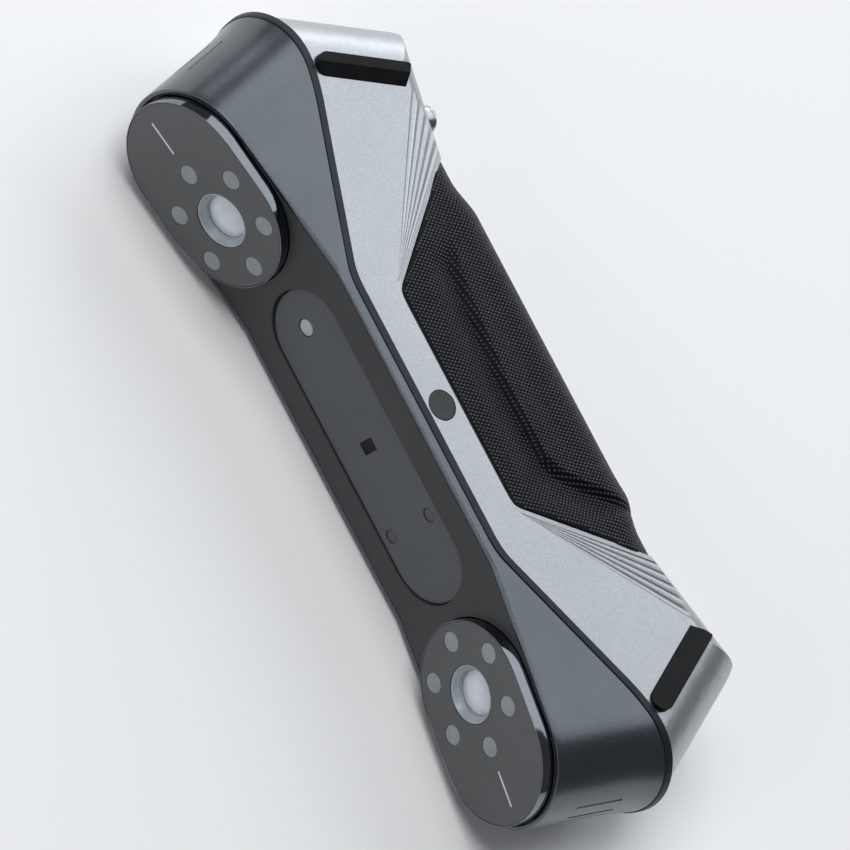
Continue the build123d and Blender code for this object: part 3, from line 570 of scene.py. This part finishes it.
def repeated(name, seats, along, stud, size, uneven, seed, material):
    """Geometry Nodes: set a stud on every seat, square to its outward vector, as one plain mesh."""
    mesh = bpy.data.meshes.new(name)
    mesh.from_pydata(placed(seats[0]).tolist(), [], [])
    for label, vectors in (("outward", seats[1]), ("along", along)):
        attribute = mesh.attributes.new(label, "FLOAT_VECTOR", "POINT")
        attribute.data.foreach_set("vector", np.asarray(vectors, np.float32).ravel())
    piece = linked(name, mesh)
    tree = bpy.data.node_groups.new(f"{name}_tree", "GeometryNodeTree")
    sockets = {}
    for label, kind in (
        ("Seats", "NodeSocketGeometry"), ("Stud", "NodeSocketObject"), ("Size", "NodeSocketFloat"),
        ("Unevenness", "NodeSocketFloat"), ("Seed", "NodeSocketInt"), ("Finish", "NodeSocketMaterial"),
    ):
        sockets[label] = tree.interface.new_socket(label, in_out="INPUT", socket_type=kind).identifier
    tree.interface.new_socket("Studs", in_out="OUTPUT", socket_type="NodeSocketGeometry")
    node, link = tree.nodes.new, tree.links.new
    entry, leave = node("NodeGroupInput"), node("NodeGroupOutput")
    stand = node("GeometryNodeInstanceOnPoints")
    stud_info = node("GeometryNodeObjectInfo")
    turn = node("FunctionNodeAxesToRotation")
    turn.primary_axis, turn.secondary_axis = "Z", "X"
    vectors = []
    for label in ("outward", "along"):
        read = node("GeometryNodeInputNamedAttribute")
        read.data_type = "FLOAT_VECTOR"
        read.inputs["Name"].default_value = label
        vectors.append(read.outputs["Attribute"])
    link(vectors[0], turn.inputs["Primary Axis"])
    link(vectors[1], turn.inputs["Secondary Axis"])
    low, high, vary = node("ShaderNodeMath"), node("ShaderNodeMath"), node("FunctionNodeRandomValue")
    low.operation, high.operation = "SUBTRACT", "ADD"
    for side, bound in ((low, "Min"), (high, "Max")):
        link(entry.outputs["Size"], side.inputs[0])
        link(entry.outputs["Unevenness"], side.inputs[1])
        link(side.outputs[0], [s for s in vary.inputs if s.name == bound and s.type == "VALUE"][0])
    link(entry.outputs["Seed"], vary.inputs["Seed"])
    vary.data_type = "FLOAT"
    link(entry.outputs["Seats"], stand.inputs["Points"])
    link(entry.outputs["Stud"], stud_info.inputs["Object"])
    link(stud_info.outputs["Geometry"], stand.inputs["Instance"])
    link(turn.outputs["Rotation"], stand.inputs["Rotation"])
    link([s for s in vary.outputs if s.type == "VALUE"][0], stand.inputs["Scale"])
    real, finish = node("GeometryNodeRealizeInstances"), node("GeometryNodeSetMaterial")
    link(stand.outputs["Instances"], real.inputs["Geometry"])
    link(real.outputs["Geometry"], finish.inputs["Geometry"])
    link(entry.outputs["Finish"], finish.inputs["Material"])
    link(finish.outputs["Geometry"], leave.inputs["Studs"])
    grow = piece.modifiers.new("studs", "NODES")
    grow.node_group = tree
    values = {"Stud": stud, "Size": size, "Unevenness": uneven, "Seed": seed, "Finish": material}
    for label, value in values.items():
        grow[sockets[label]] = value
    return baked(piece)


def stud_mesh(name, profile, segments):
    """A small turned stud about the origin, standing along +Z, in millimetres."""
    angles = np.linspace(0, 2 * pi, segments, endpoint=False)
    rows = [np.stack([r * np.cos(angles), r * np.sin(angles), np.full(segments, h)], axis=1)
            for r, h in profile]
    points, faces = ring_rows(rows)
    mesh = bpy.data.meshes.new(name)
    mesh.from_pydata((points / 1000).tolist(), [], [tuple(map(int, face)) for face in faces])
    work = bmesh.new()
    work.from_mesh(mesh)
    bmesh.ops.recalc_face_normals(work, faces=work.faces)
    work.to_mesh(mesh)
    work.free()
    return linked(name, mesh)


led_stud = stud_mesh("led_stud", LED_PROFILE, 40)
for end, label in ((1, "bottom"), (-1, "top")):
    bezel_rows = [to_head(pod_loop(r, y), end) for r, y in BEZEL_PROFILE]
    bezel = solid(f"{label}_bezel_ring", *ring_rows(bezel_rows))
    opening_rows = [to_head(stadium(ROUND, LENS_OPENING_R, y), end) for y in (-2, 5)]
    opening = solid(f"{label}_lens_cut", *ring_rows(opening_rows))
    carved(bezel, opening, lamp_cut(f"{label}_lamp_cut", end, -2.0, 5.0))
    finished(bezel, bezel_gloss, "bezel_gloss", f"{label}_bezel")

    pane_rows = [to_head(pod_loop(r, y), end) for r, y in PANE_PROFILE]
    pane = solid(f"{label}_pane", *ring_rows(pane_rows))
    mouth_rows = [to_head(stadium(ROUND, r, y), end) for r, y in MOUTH_PROFILE]
    mouth = solid(f"{label}_mouth_cut", *ring_rows(mouth_rows))
    carved(pane, mouth, lamp_cut(f"{label}_lamp_cut", end, -2.0, 3.0))
    finished(pane, pane_dark, "pane_dark", f"{label}_window")

    lamp_seats = to_head([(LED_RING_R * cos(a), 0.02, LED_RING_R * sin(a)) for a in LED_ANGLES], end)
    facing = np.tile((-end * sin(TOE), -cos(TOE), 0.0), (6, 1))
    across = np.tile((0.0, 0.0, 1.0), (6, 1))
    lamps = repeated(f"{label}_lamp_windows", (lamp_seats, facing), across, led_stud,
                     size=1.0, uneven=0.002, seed=3, material=led_frost)
    finished(lamps, led_frost, "led_window", f"{label}_led_windows")

    index_rows = []
    for inset, y in INDEX_PROFILE:
        near, far, half = INDEX_NEAR + inset, INDEX_FAR - inset, INDEX_HALF - inset
        index_rows.append(to_head([(near, y, -half), (far, y, -half), (far, y, half), (near, y, half)], end))
    index = solid(f"{label}_index_line", *ring_rows(index_rows))
    finished(index, line_white, "led_window")
bpy.data.objects.remove(led_stud)

# ---- lenses ---------------------------------------------------------------------------------------
# A grey anodised barrel with a stepped conical mouth, and a coated glass element domed to the front.
barrel_grey = grained("barrel_anodised", (0.35, 0.39, 0.42), (0.41, 0.45, 0.48), 0.34, metal=0.15,
                      grain=0.2, bump=0.006, cloud=6.0)
lens_coat = grained("lens_coated_glass", (0.60, 0.65, 0.71), (0.75, 0.79, 0.85), 0.12, grain=1.2,
                    bump=0.002, cloud=5.0, coat=1.0, coat_rough=0.03)
BARREL_PROFILE = ((7.30, 9.0), (7.30, 0.30), (7.26, 0.20), (7.16, 0.16), (6.95, 0.22), (6.2, 1.25),
                  (6.10, 1.32), (5.98, 1.34), (5.66, 2.30), (5.62, 2.4), (5.60, 9.0))
LENS_R, DOME_EDGE, DOME_TOP = 5.55, 0.53, 0.03
for end, label in ((1, "bottom"), (-1, "top")):
    def at_lens(points, end=end):
        return to_head(points, end)
    barrel = lathe(f"{label}_barrel", BARREL_PROFILE, at_lens, 72, tube=True)
    finished(barrel, barrel_grey, "barrel_grey", f"{label}_lens_barrel")
    dome = [(LENS_R * sin(a) / sin(DOME_EDGE), 1.15 + 11.0 * (1 - cos(a)) * 0.9)
            for a in np.linspace(DOME_EDGE, DOME_TOP, 9)]
    lens = lathe(f"{label}_lens_dome", [(LENS_R, 6.0), *dome], at_lens, 64)
    finished(lens, lens_coat, "lens_glass", f"{label}_front_lens")

# ---- inside the body ------------------------------------------------------------------------------
# The aluminium bench keeps both cameras and the laser in line; the boards, heat sink, switches and
# flat cables sit behind it on brass spacers and steel screws. All of it is closed in by the shell.
def dress(material, *names):
    """Give CAD nodes that keep their own shape their material."""
    for name in names:
        for material_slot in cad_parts[name].material_slots:
            material_slot.material = material


def both(*names):
    return [f"{label}_{name}" for label in ("bottom", "top") for name in names]


bench_aluminium = grained("bench_aluminium", (0.42, 0.43, 0.44), (0.50, 0.51, 0.52), 0.34, metal=1.0,
                          grain=0.3, bump=0.02, cloud=9.0, stretch=(0.12, 1, 1))
screw_steel = grained("screw_steel", (0.30, 0.31, 0.32), (0.42, 0.43, 0.44), 0.28, metal=1.0, grain=0.2,
                      bump=0.01, cloud=2.0)
solder_green = grained("board_green", (0.010, 0.050, 0.024), (0.016, 0.085, 0.040), 0.36, grain=0.8,
                       bump=0.02, cloud=4.0, coat=0.4)
spacer_brass = grained("spacer_brass", (0.52, 0.36, 0.13), (0.64, 0.46, 0.20), 0.30, metal=1.0,
                       grain=0.25, bump=0.01, cloud=2.5)
chip_black = grained("chip_black", (0.012, 0.012, 0.013), (0.022, 0.022, 0.024), 0.48, grain=0.2,
                     bump=0.01, cloud=3.0)
module_black = grained("module_black", (0.010, 0.011, 0.012), (0.018, 0.019, 0.020), 0.44, grain=0.25,
                       bump=0.012, cloud=5.0)
module_metal = grained("module_metal", (0.46, 0.36, 0.20), (0.56, 0.45, 0.27), 0.32, metal=1.0, grain=0.3,
                       bump=0.01, cloud=4.0)
flex_amber = grained("flex_amber", (0.36, 0.16, 0.028), (0.46, 0.22, 0.045), 0.34, grain=0.7, bump=0.01,
                     cloud=3.0, coat=0.5)
led_phosphor = grained("led_chip_yellow", (0.58, 0.52, 0.16), (0.70, 0.64, 0.24), 0.40, grain=0.4,
                       bump=0.01, cloud=1.0)
frame_nylon = grained("frame_nylon", (0.020, 0.021, 0.023), (0.030, 0.031, 0.034), 0.52, grain=0.35,
                      bump=0.03, cloud=8.0)
dress(bench_aluminium, "optical_bench", "heat_sink", *both("tie_post"))
dress(screw_steel, "bench_screws", "board_screws", "shell_screws", "button_board_screws", "usb_socket")
dress(solder_green, "main_board", "button_board", *both("led_board", "camera_board"))
dress(spacer_brass, "board_spacers", "tripod_inserts")
dress(chip_black, "processor", "button_switches", *both("image_sensor"))
dress(module_black, "colour_camera", *both("lens_holder"))
dress(module_metal, "laser_module")
dress(flex_amber, *both("camera_flex"))
dress(led_phosphor, *both("led_chips"))
dress(frame_nylon, "grip_frame")

# ---- rear shell -----------------------------------------------------------------------------------
# Silver-painted cast shell behind the seam. At each corner of the grip a facet falls towards the hand
# and carries a fan of concave flutes that spreads from the corner to the head's back.
silver = grained("silver_metallic", (0.415, 0.430, 0.452), (0.450, 0.465, 0.487), 0.36, metal=0.85,
                 grain=0.16, bump=0.012, cloud=30.0, flakes=0.16)
FLUTE_X, FLUTE_Y, FLUTE_FAN = 31.0, 22.4, (38.0, 53.6)
FLUTE_TILT, FLUTE_COUNT, FLUTE_DEPTH, FLUTE_FULL = 18.0, 5, 0.62, 52.0
GRIP_X, GRIP_Y, GRIP_SLOPE, GRIP_CORNER = 29.5, 22.6, 53.6, 4.0
ROLL, ROLL_FLATNESS = 1.25, 0.62


def welded_copy(name, node, weld=2e-6):
    """A CAD node's mesh as a new piece, with its loose triangles joined up."""
    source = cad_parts[node].data
    mesh = bpy.data.meshes.new(name)
    mesh.from_pydata([v.co[:] for v in source.vertices], [], [p.vertices[:] for p in source.polygons])
    work = bmesh.new()
    work.from_mesh(mesh)
    bmesh.ops.remove_doubles(work, verts=work.verts, dist=weld)
    bmesh.ops.dissolve_degenerate(work, edges=work.edges, dist=weld)
    work.to_mesh(mesh)
    work.free()
    return linked(name, mesh)


def flute_fan(name, end, side):
    """A cutter whose underside is the fluted facet of one corner: scallops that grow outward."""
    inner, outer = (radians(a) for a in FLUTE_FAN)
    steps = 12
    reach = np.concatenate([np.linspace(0.8, 12, 8), np.linspace(14, 78, 24)])
    turns = np.linspace(0, 1, FLUTE_COUNT * steps + 1)
    under, over = [], []
    for r in reach:
        fade = 1 - 0.55 * max(0.0, min(1.0, (r - FLUTE_FULL) / 14))
        grow = min(1.0, r / FLUTE_FULL) * FLUTE_DEPTH * fade
        for t in turns:
            angle = inner + t * (outer - inner)
            across = r * sin(angle - inner)
            phase = (t * FLUTE_COUNT) % 1.0
            scallop = grow * sin(pi * phase) ** 0.8
            depth = 0.05 + across * tan(radians(FLUTE_TILT)) + scallop
            x, y = FLUTE_X + r * cos(angle), FLUTE_Y + r * sin(angle)
            under.append((end * x, y, side * (HALF_WAIST - depth)))
            over.append((end * x, y, side * 26.0))
    count, lines = len(turns), len(reach)
    skin = [(i * count + j, i * count + j + 1, (i + 1) * count + j + 1, (i + 1) * count + j)
            for i in range(lines - 1) for j in range(count - 1)]
    top = lines * count
    faces = skin + [tuple(k + top for k in face) for face in skin]
    edge = list(range(count)) + [i * count + count - 1 for i in range(1, lines)]
    edge += [(lines - 1) * count + j for j in range(count - 2, -1, -1)]
    edge += [i * count for i in range(lines - 2, 0, -1)]
    faces += [(a, b, b + top, a + top) for a, b in zip(edge, edge[1:] + edge[:1])]
    return solid(name, under + over, faces)


def grip_edge(gap, count=9):
    """The front edge of the grip zone in (x, y), from the middle outward, with its rounded corner."""
    turn = radians(GRIP_SLOPE)
    reach = GRIP_CORNER * tan(turn / 2)
    centre = (GRIP_X - reach, GRIP_Y + GRIP_CORNER)
    arc = [(centre[0] + (GRIP_CORNER - gap) * sin(a), centre[1] - (GRIP_CORNER - gap) * cos(a), a)
           for a in np.linspace(0, turn, count)]
    return [(x, GRIP_Y + gap, 0.0) for x in np.linspace(0, arc[0][0], 12, endpoint=False)] + arc


def rolled_edge(name, side):
    """A cutter that rolls the shell's edge over along the front of the grip, fading out past its corners."""
    stations = grip_edge(0.0)
    last_x, last_y, last_turn = stations[-1]
    for far in (2.0, 5.0, 9.0, 14.0):
        stations.append((last_x + far * cos(last_turn), last_y + far * sin(last_turn), last_turn))
    stations = [(-x, y, -a) for x, y, a in stations[:0:-1]] + stations
    rows = []
    for x, y, a in stations:
        roll = ROLL * max(0.12, 1 - max(0.0, abs(x) - 26.0) / 9.0)
        profile = [(-roll - 0.06, 0.5), (-roll - 0.03, 0.0)]
        profile += [(-roll + roll * sin(b), -roll * ROLL_FLATNESS * (1 - cos(b)))
                    for b in np.linspace(0.15, pi / 2, 6)]
        profile += [(0.6, -roll * ROLL_FLATNESS - 0.1), (0.6, 0.5)]
        rows.append(np.array([(x - sin(a) * m, y + cos(a) * m, side * (HALF_WAIST + h)) for m, h in profile]))
    return solid(name, *ring_rows(rows))


shell = welded_copy("rear_shell_skin", "rear_shell")
shell_cuts = [flute_fan(f"flutes_{end}_{side}", end, side) for end in (-1, 1) for side in (-1, 1)]
shell_cuts += [rolled_edge(f"roll_{side}", side) for side in (-1, 1)]
carved(shell, *shell_cuts)
finished(shell, silver, "silver", "rear_shell", crease=24.0)

# ---- grip sleeve ----------------------------------------------------------------------------------
# Over-moulded rubber on the hand grip: a raised pad on the back and sides, stepped up from the side
# panels along a creased line, and covered all over with small staggered scales.
# The sleeve is the same black rubber as its scales, but it is painted several times darker than them: painted
# shade for the gaps between the scales and along the bare edges.
sleeve_rubber_painted_gap_shade = grained("grip_rubber", (0.003, 0.004, 0.005), (0.006, 0.007, 0.008), 0.62, grain=0.3, bump=0.02,
                 cloud=10.0, specular=0.12)
scale_rubber = grained("grip_scales", (0.012, 0.015, 0.019), (0.018, 0.022, 0.027), 0.38, grain=0.25,
                       bump=0.015, cloud=9.0, specular=0.55)
SLEEVE_GAP, SLEEVE_WALL = 0.25, 0.0010
EDGE_ROLL, EDGE_TUCK, EDGE_END = 0.7, 0.5, 1.2
STATIONS_ROUND, STATIONS_ALONG = 150, 200
SQUEEZE, SQUEEZE_Y, SQUEEZE_X = 2.7 / 23.3, 42, 38.5
CREASE_DEPTH, RIDGE_HEIGHT = 1.7, 0.5
MIDDLE_Y = 40.0
CREASE_X = (-60, -36, -29, -17, 0, 13, 22, 26, 31, 39, 47, 60)
CREASE_Y = (54, 47.5, 44.6, 42.6, 40.6, 40.2, 40.6, 42.6, 48.0, 57.5, 66, 80)
SECTION = [(22.85, 20.2), (30.0, 19.85), (35.0, 19.5), (40.0, 19.0), (45.0, 18.35), (48.0, 18.0),
           (51.3, 17.8)]
SECTION += [(51.3 + 14 * sin(a), 3.8 + 14 * cos(a)) for a in np.linspace(0.05, pi / 2, 26)]
SECTION += [(65.3, z) for z in (2.5, 1.2, 0.0)]
SECTION = np.array(SECTION)
SECTION_LENGTH = np.concatenate([[0.0], np.cumsum(np.hypot(*np.diff(SECTION, axis=0).T))])
HALF_GIRTH = SECTION_LENGTH[-1]


def smooth_step(t):
    t = np.clip(t, 0, 1)
    return t * t * (3 - 2 * t)


def zone_half(y):
    """Half length of the grip zone at a depth y, less the sleeve's clearance."""
    turn = radians(GRIP_SLOPE)
    arc_x = GRIP_X - GRIP_CORNER * tan(turn / 2)
    straight = GRIP_X + (y - GRIP_Y) / tan(turn)
    drop = np.clip(GRIP_CORNER ** 2 - (GRIP_Y + GRIP_CORNER - y) ** 2, 0, None)
    corner = arc_x + np.sqrt(drop)
    tangent_y = GRIP_Y + GRIP_CORNER * (1 - cos(turn))
    return np.where(y < tangent_y, corner, straight) - SLEEVE_GAP / sin(turn)


def sleeve_point(girth, x):
    """A point of the sleeve's face, and its depth before the crease.

    Girth runs over the section from the back's middle line, x along the body.
    """
    girth, x = np.broadcast_arrays(np.asarray(girth, float), np.asarray(x, float))
    along = HALF_GIRTH - np.abs(girth)
    y = np.interp(along, SECTION_LENGTH, SECTION[:, 0])
    z = np.interp(along, SECTION_LENGTH, SECTION[:, 1])
    ny = np.interp(along, (0, 15, 21, 28.6, HALF_GIRTH - 3.8), (0.05, 0.12, 0.30, 0.0, 1.0))
    squeeze = 1 - SQUEEZE * smooth_step((np.abs(x) - SQUEEZE_X) / 11.0)
    y_bent = np.where(y > SQUEEZE_Y, SQUEEZE_Y + (y - SQUEEZE_Y) * squeeze, y)
    crease = np.interp(x, CREASE_X, CREASE_Y)
    lean = 1 - 0.34 * smooth_step((x - 20) / 9.0)
    t = (y_bent - crease) * lean
    present = smooth_step((x + 37) / 9.0) * (1 - smooth_step((np.abs(x) - 38) / 7.0))
    face = np.clip((t + 2.0) / 1.8, 0, 1)
    valley = smooth_step((t + 12.5) / 9.5) * (1 - face)
    lift = present * (-CREASE_DEPTH * valley + RIDGE_HEIGHT * face * (1 - smooth_step(t / 9.0)))
    norm_y, norm_z = ny, np.sqrt(np.clip(1 - ny * ny, 0, 1))
    y_out = y_bent + lift * norm_y
    z_out = (z + lift * norm_z) * np.sign(np.where(girth == 0, 1, girth))
    return np.stack([x, y_out, z_out], axis=-1), y


def sleeve_normal(girth, x):
    step = 0.05
    across = sleeve_point(girth + step, x)[0] - sleeve_point(girth - step, x)[0]
    down = sleeve_point(girth, x + step)[0] - sleeve_point(girth, x - step)[0]
    normal = np.cross(across, down)
    normal /= np.linalg.norm(normal, axis=-1, keepdims=True)
    here = sleeve_point(girth, x)[0]
    outward = np.stack([np.zeros_like(x), here[..., 1] - MIDDLE_Y, here[..., 2]], axis=-1)
    return normal * np.sign(np.sum(normal * outward, axis=-1, keepdims=True))


edge_steps = np.array((0.0, 0.08, 0.2, 0.4, 0.7))


def spaced(half, count):
    """Stations from -half to half: even between the ends, and close together at each end."""
    even = np.linspace(-half + EDGE_END, half - EDGE_END, count)
    return np.concatenate([-half + edge_steps, even, half - edge_steps[::-1]])


girths = spaced(HALF_GIRTH, STATIONS_ROUND)
sleeve_rows = []
for girth in girths:
    reach = float(zone_half(sleeve_point(girth, 0.0)[1]))
    xs = spaced(reach, STATIONS_ALONG)
    margin = np.minimum(np.minimum(reach - np.abs(xs), HALF_GIRTH - abs(girth)), EDGE_ROLL) / EDGE_ROLL
    tuck = EDGE_TUCK * (1 - np.sqrt(np.clip(1 - (1 - margin) ** 2, 0, 1)))
    here = np.full(len(xs), girth)
    sleeve_rows.append(sleeve_point(here, xs)[0] - sleeve_normal(here, xs) * tuck[:, None])
wide = len(sleeve_rows[0])
sleeve_faces = [(i * wide + j, i * wide + j + 1, (i + 1) * wide + j + 1, (i + 1) * wide + j)
                for i in range(len(sleeve_rows) - 1) for j in range(wide - 1)]
sleeve_mesh = bpy.data.meshes.new("grip_sleeve_skin")
sleeve_mesh.from_pydata(placed(np.concatenate(sleeve_rows)).tolist(), [], sleeve_faces)
if sleeve_mesh.polygons[len(sleeve_faces) // 2].normal.y < 0:
    sleeve_mesh.flip_normals()
sleeve = linked("grip_sleeve_skin", sleeve_mesh)
thick = sleeve.modifiers.new("wall", "SOLIDIFY")
thick.thickness, thick.offset = SLEEVE_WALL, -1.0
baked(sleeve)
# The sleeve takes the darker copy of the rubber: painted shade between and round the scales.
finished(sleeve, sleeve_rubber_painted_gap_shade, "grip_rubber", "grip_sleeve", crease=50.0)

SCALE_PITCH, SCALE_ROW, SCALE_MARGIN = 1.08, 0.90, 0.8
scale_stud = stud_mesh("scale_stud", ((0.44, -0.10), (0.40, 0.17), (0.23, 0.29)), 6)
rows_each_way = int(HALF_GIRTH / SCALE_ROW)
back_rows = int(rows_each_way * 0.42)
bands = {
    "upper": range(back_rows + 1, rows_each_way),
    "lower": range(-rows_each_way + 1, -back_rows),
    "back": range(-back_rows, back_rows + 1),
}
for label, band in bands.items():
    seat_points, seat_normals = [], []
    for row in band:
        girth = row * SCALE_ROW
        reach = float(zone_half(sleeve_point(girth, 0.0)[1])) - SCALE_MARGIN
        if HALF_GIRTH - abs(girth) < SCALE_MARGIN:
            continue
        shift = (row % 2) * SCALE_PITCH / 2
        each_way = int(reach / SCALE_PITCH) + 1
        xs = np.arange(-each_way, each_way + 1) * SCALE_PITCH + shift
        xs = xs[np.abs(xs) < reach]
        here = np.full(len(xs), girth)
        seat_points.append(sleeve_point(here, xs)[0])
        seat_normals.append(sleeve_normal(here, xs))
    seat_points, seat_normals = np.concatenate(seat_points), np.concatenate(seat_normals)
    along = np.tile((1.0, 0.0, 0.0), (len(seat_points), 1))
    scales = repeated(f"grip_scales_{label}", (seat_points, seat_normals), along, scale_stud,
                      size=1.0, uneven=0.05, seed=11, material=scale_rubber)
    finished(scales, scale_rubber, "grip_rubber", crease=75.0)
bpy.data.objects.remove(scale_stud)

# ---- feet -----------------------------------------------------------------------------------------
# Four rubber feet glued into pockets over the shell screws. Each is a long block with its crest on the
# outer half and a slope towards the body's middle.
foot_rubber = grained("foot_rubber", (0.004, 0.005, 0.006), (0.008, 0.009, 0.010), 0.42, grain=0.22,
                      bump=0.008, cloud=6.0, specular=0.14)
for label in ("bottom", "top"):
    for level in ("upper", "lower"):
        foot = welded_copy(f"{label}_foot_{level}_block", f"{label}_foot_{level}")
        work = bmesh.new()
        work.from_mesh(foot.data)
        bmesh.ops.dissolve_limit(work, angle_limit=radians(1.0), verts=work.verts, edges=work.edges)
        work.to_mesh(foot.data)
        work.free()
        soft_edge = foot.modifiers.new("soft_edge", "BEVEL")
        soft_edge.width, soft_edge.segments, soft_edge.angle_limit = 0.00022, 3, radians(20)
        finished(foot, foot_rubber, "foot_rubber", f"{label}_foot_{level}")

# ---- side plug, buttons and port ------------------------------------------------------------------
# A flush rubber plug closes one side insert. Three turned metal buttons stand in the back of the top
# head, and the cable socket sits in a moulded recess at the other end.
PLUG_Y = 16.9
plug_rubber = grained("plug_rubber", (0.016, 0.020, 0.024), (0.024, 0.029, 0.034), 0.50, grain=0.25,
                      bump=0.01, cloud=4.0)


def on_side(points):
    """Local points (across, height, across) to the +Z side over the plug, height along +Z."""
    u, h, v = np.asarray(points, float).T
    return np.stack([u, PLUG_Y + v, h], axis=1)


plug_profile = ((3.86, 19.4), (3.86, 20.72), (3.80, 20.82), (3.66, 20.88), (3.3, 20.88), (3.1, 20.84),
                (0.4, 20.84))
plug = lathe("side_plug_disc", plug_profile, on_side, 64)
finished(plug, plug_rubber, "plug_rubber", "side_plug")
button_metal = grained("button_metal", (0.42, 0.45, 0.48), (0.50, 0.53, 0.56), 0.26, metal=1.0, grain=0.2,
                       bump=0.006, cloud=5.0)
BUTTON_TILT, BUTTON_X, BACK_X, BACK_Y = radians(13.2), 66.5, 57.6, 62.0
BUTTONS = (("plus", 9.4, 3.6), ("scan", 0.0, 4.2), ("minus", -9.4, 3.6))
CAP_PROFILE = ((0.4, -5.4), (0.4, -4.6), (-0.02, -4.5), (-0.02, 0.9), (-0.22, 1.0), (-0.22, 1.15),
               (-0.06, 1.25), (-0.06, 1.7), (-0.2, 2.0), (-0.5, 2.2), (-0.9, 2.28), (-1.3, 2.22))
for name, z, radius in BUTTONS:
    def on_back(points, z=z):
        u, h, v = np.asarray(points, float).T
        seat_y = BACK_Y + (BUTTON_X - BACK_X) * tan(BUTTON_TILT)
        return np.stack([-(BUTTON_X + u * cos(BUTTON_TILT) - h * sin(BUTTON_TILT)),
                         seat_y + u * sin(BUTTON_TILT) + h * cos(BUTTON_TILT), v + z], axis=1)
    cap_profile = [(radius + wider, height) for wider, height in CAP_PROFILE] + [(0.5, 2.05)]
    cap = lathe(f"{name}_button_cap", cap_profile, on_back, 56)
    finished(cap, button_metal, "button_metal", f"{name}_button", body=f"{name}_button")
port = welded_copy("port_surround_cup", "port_surround")
finished(port, module_black, "module_black", "port_surround", crease=28.0)
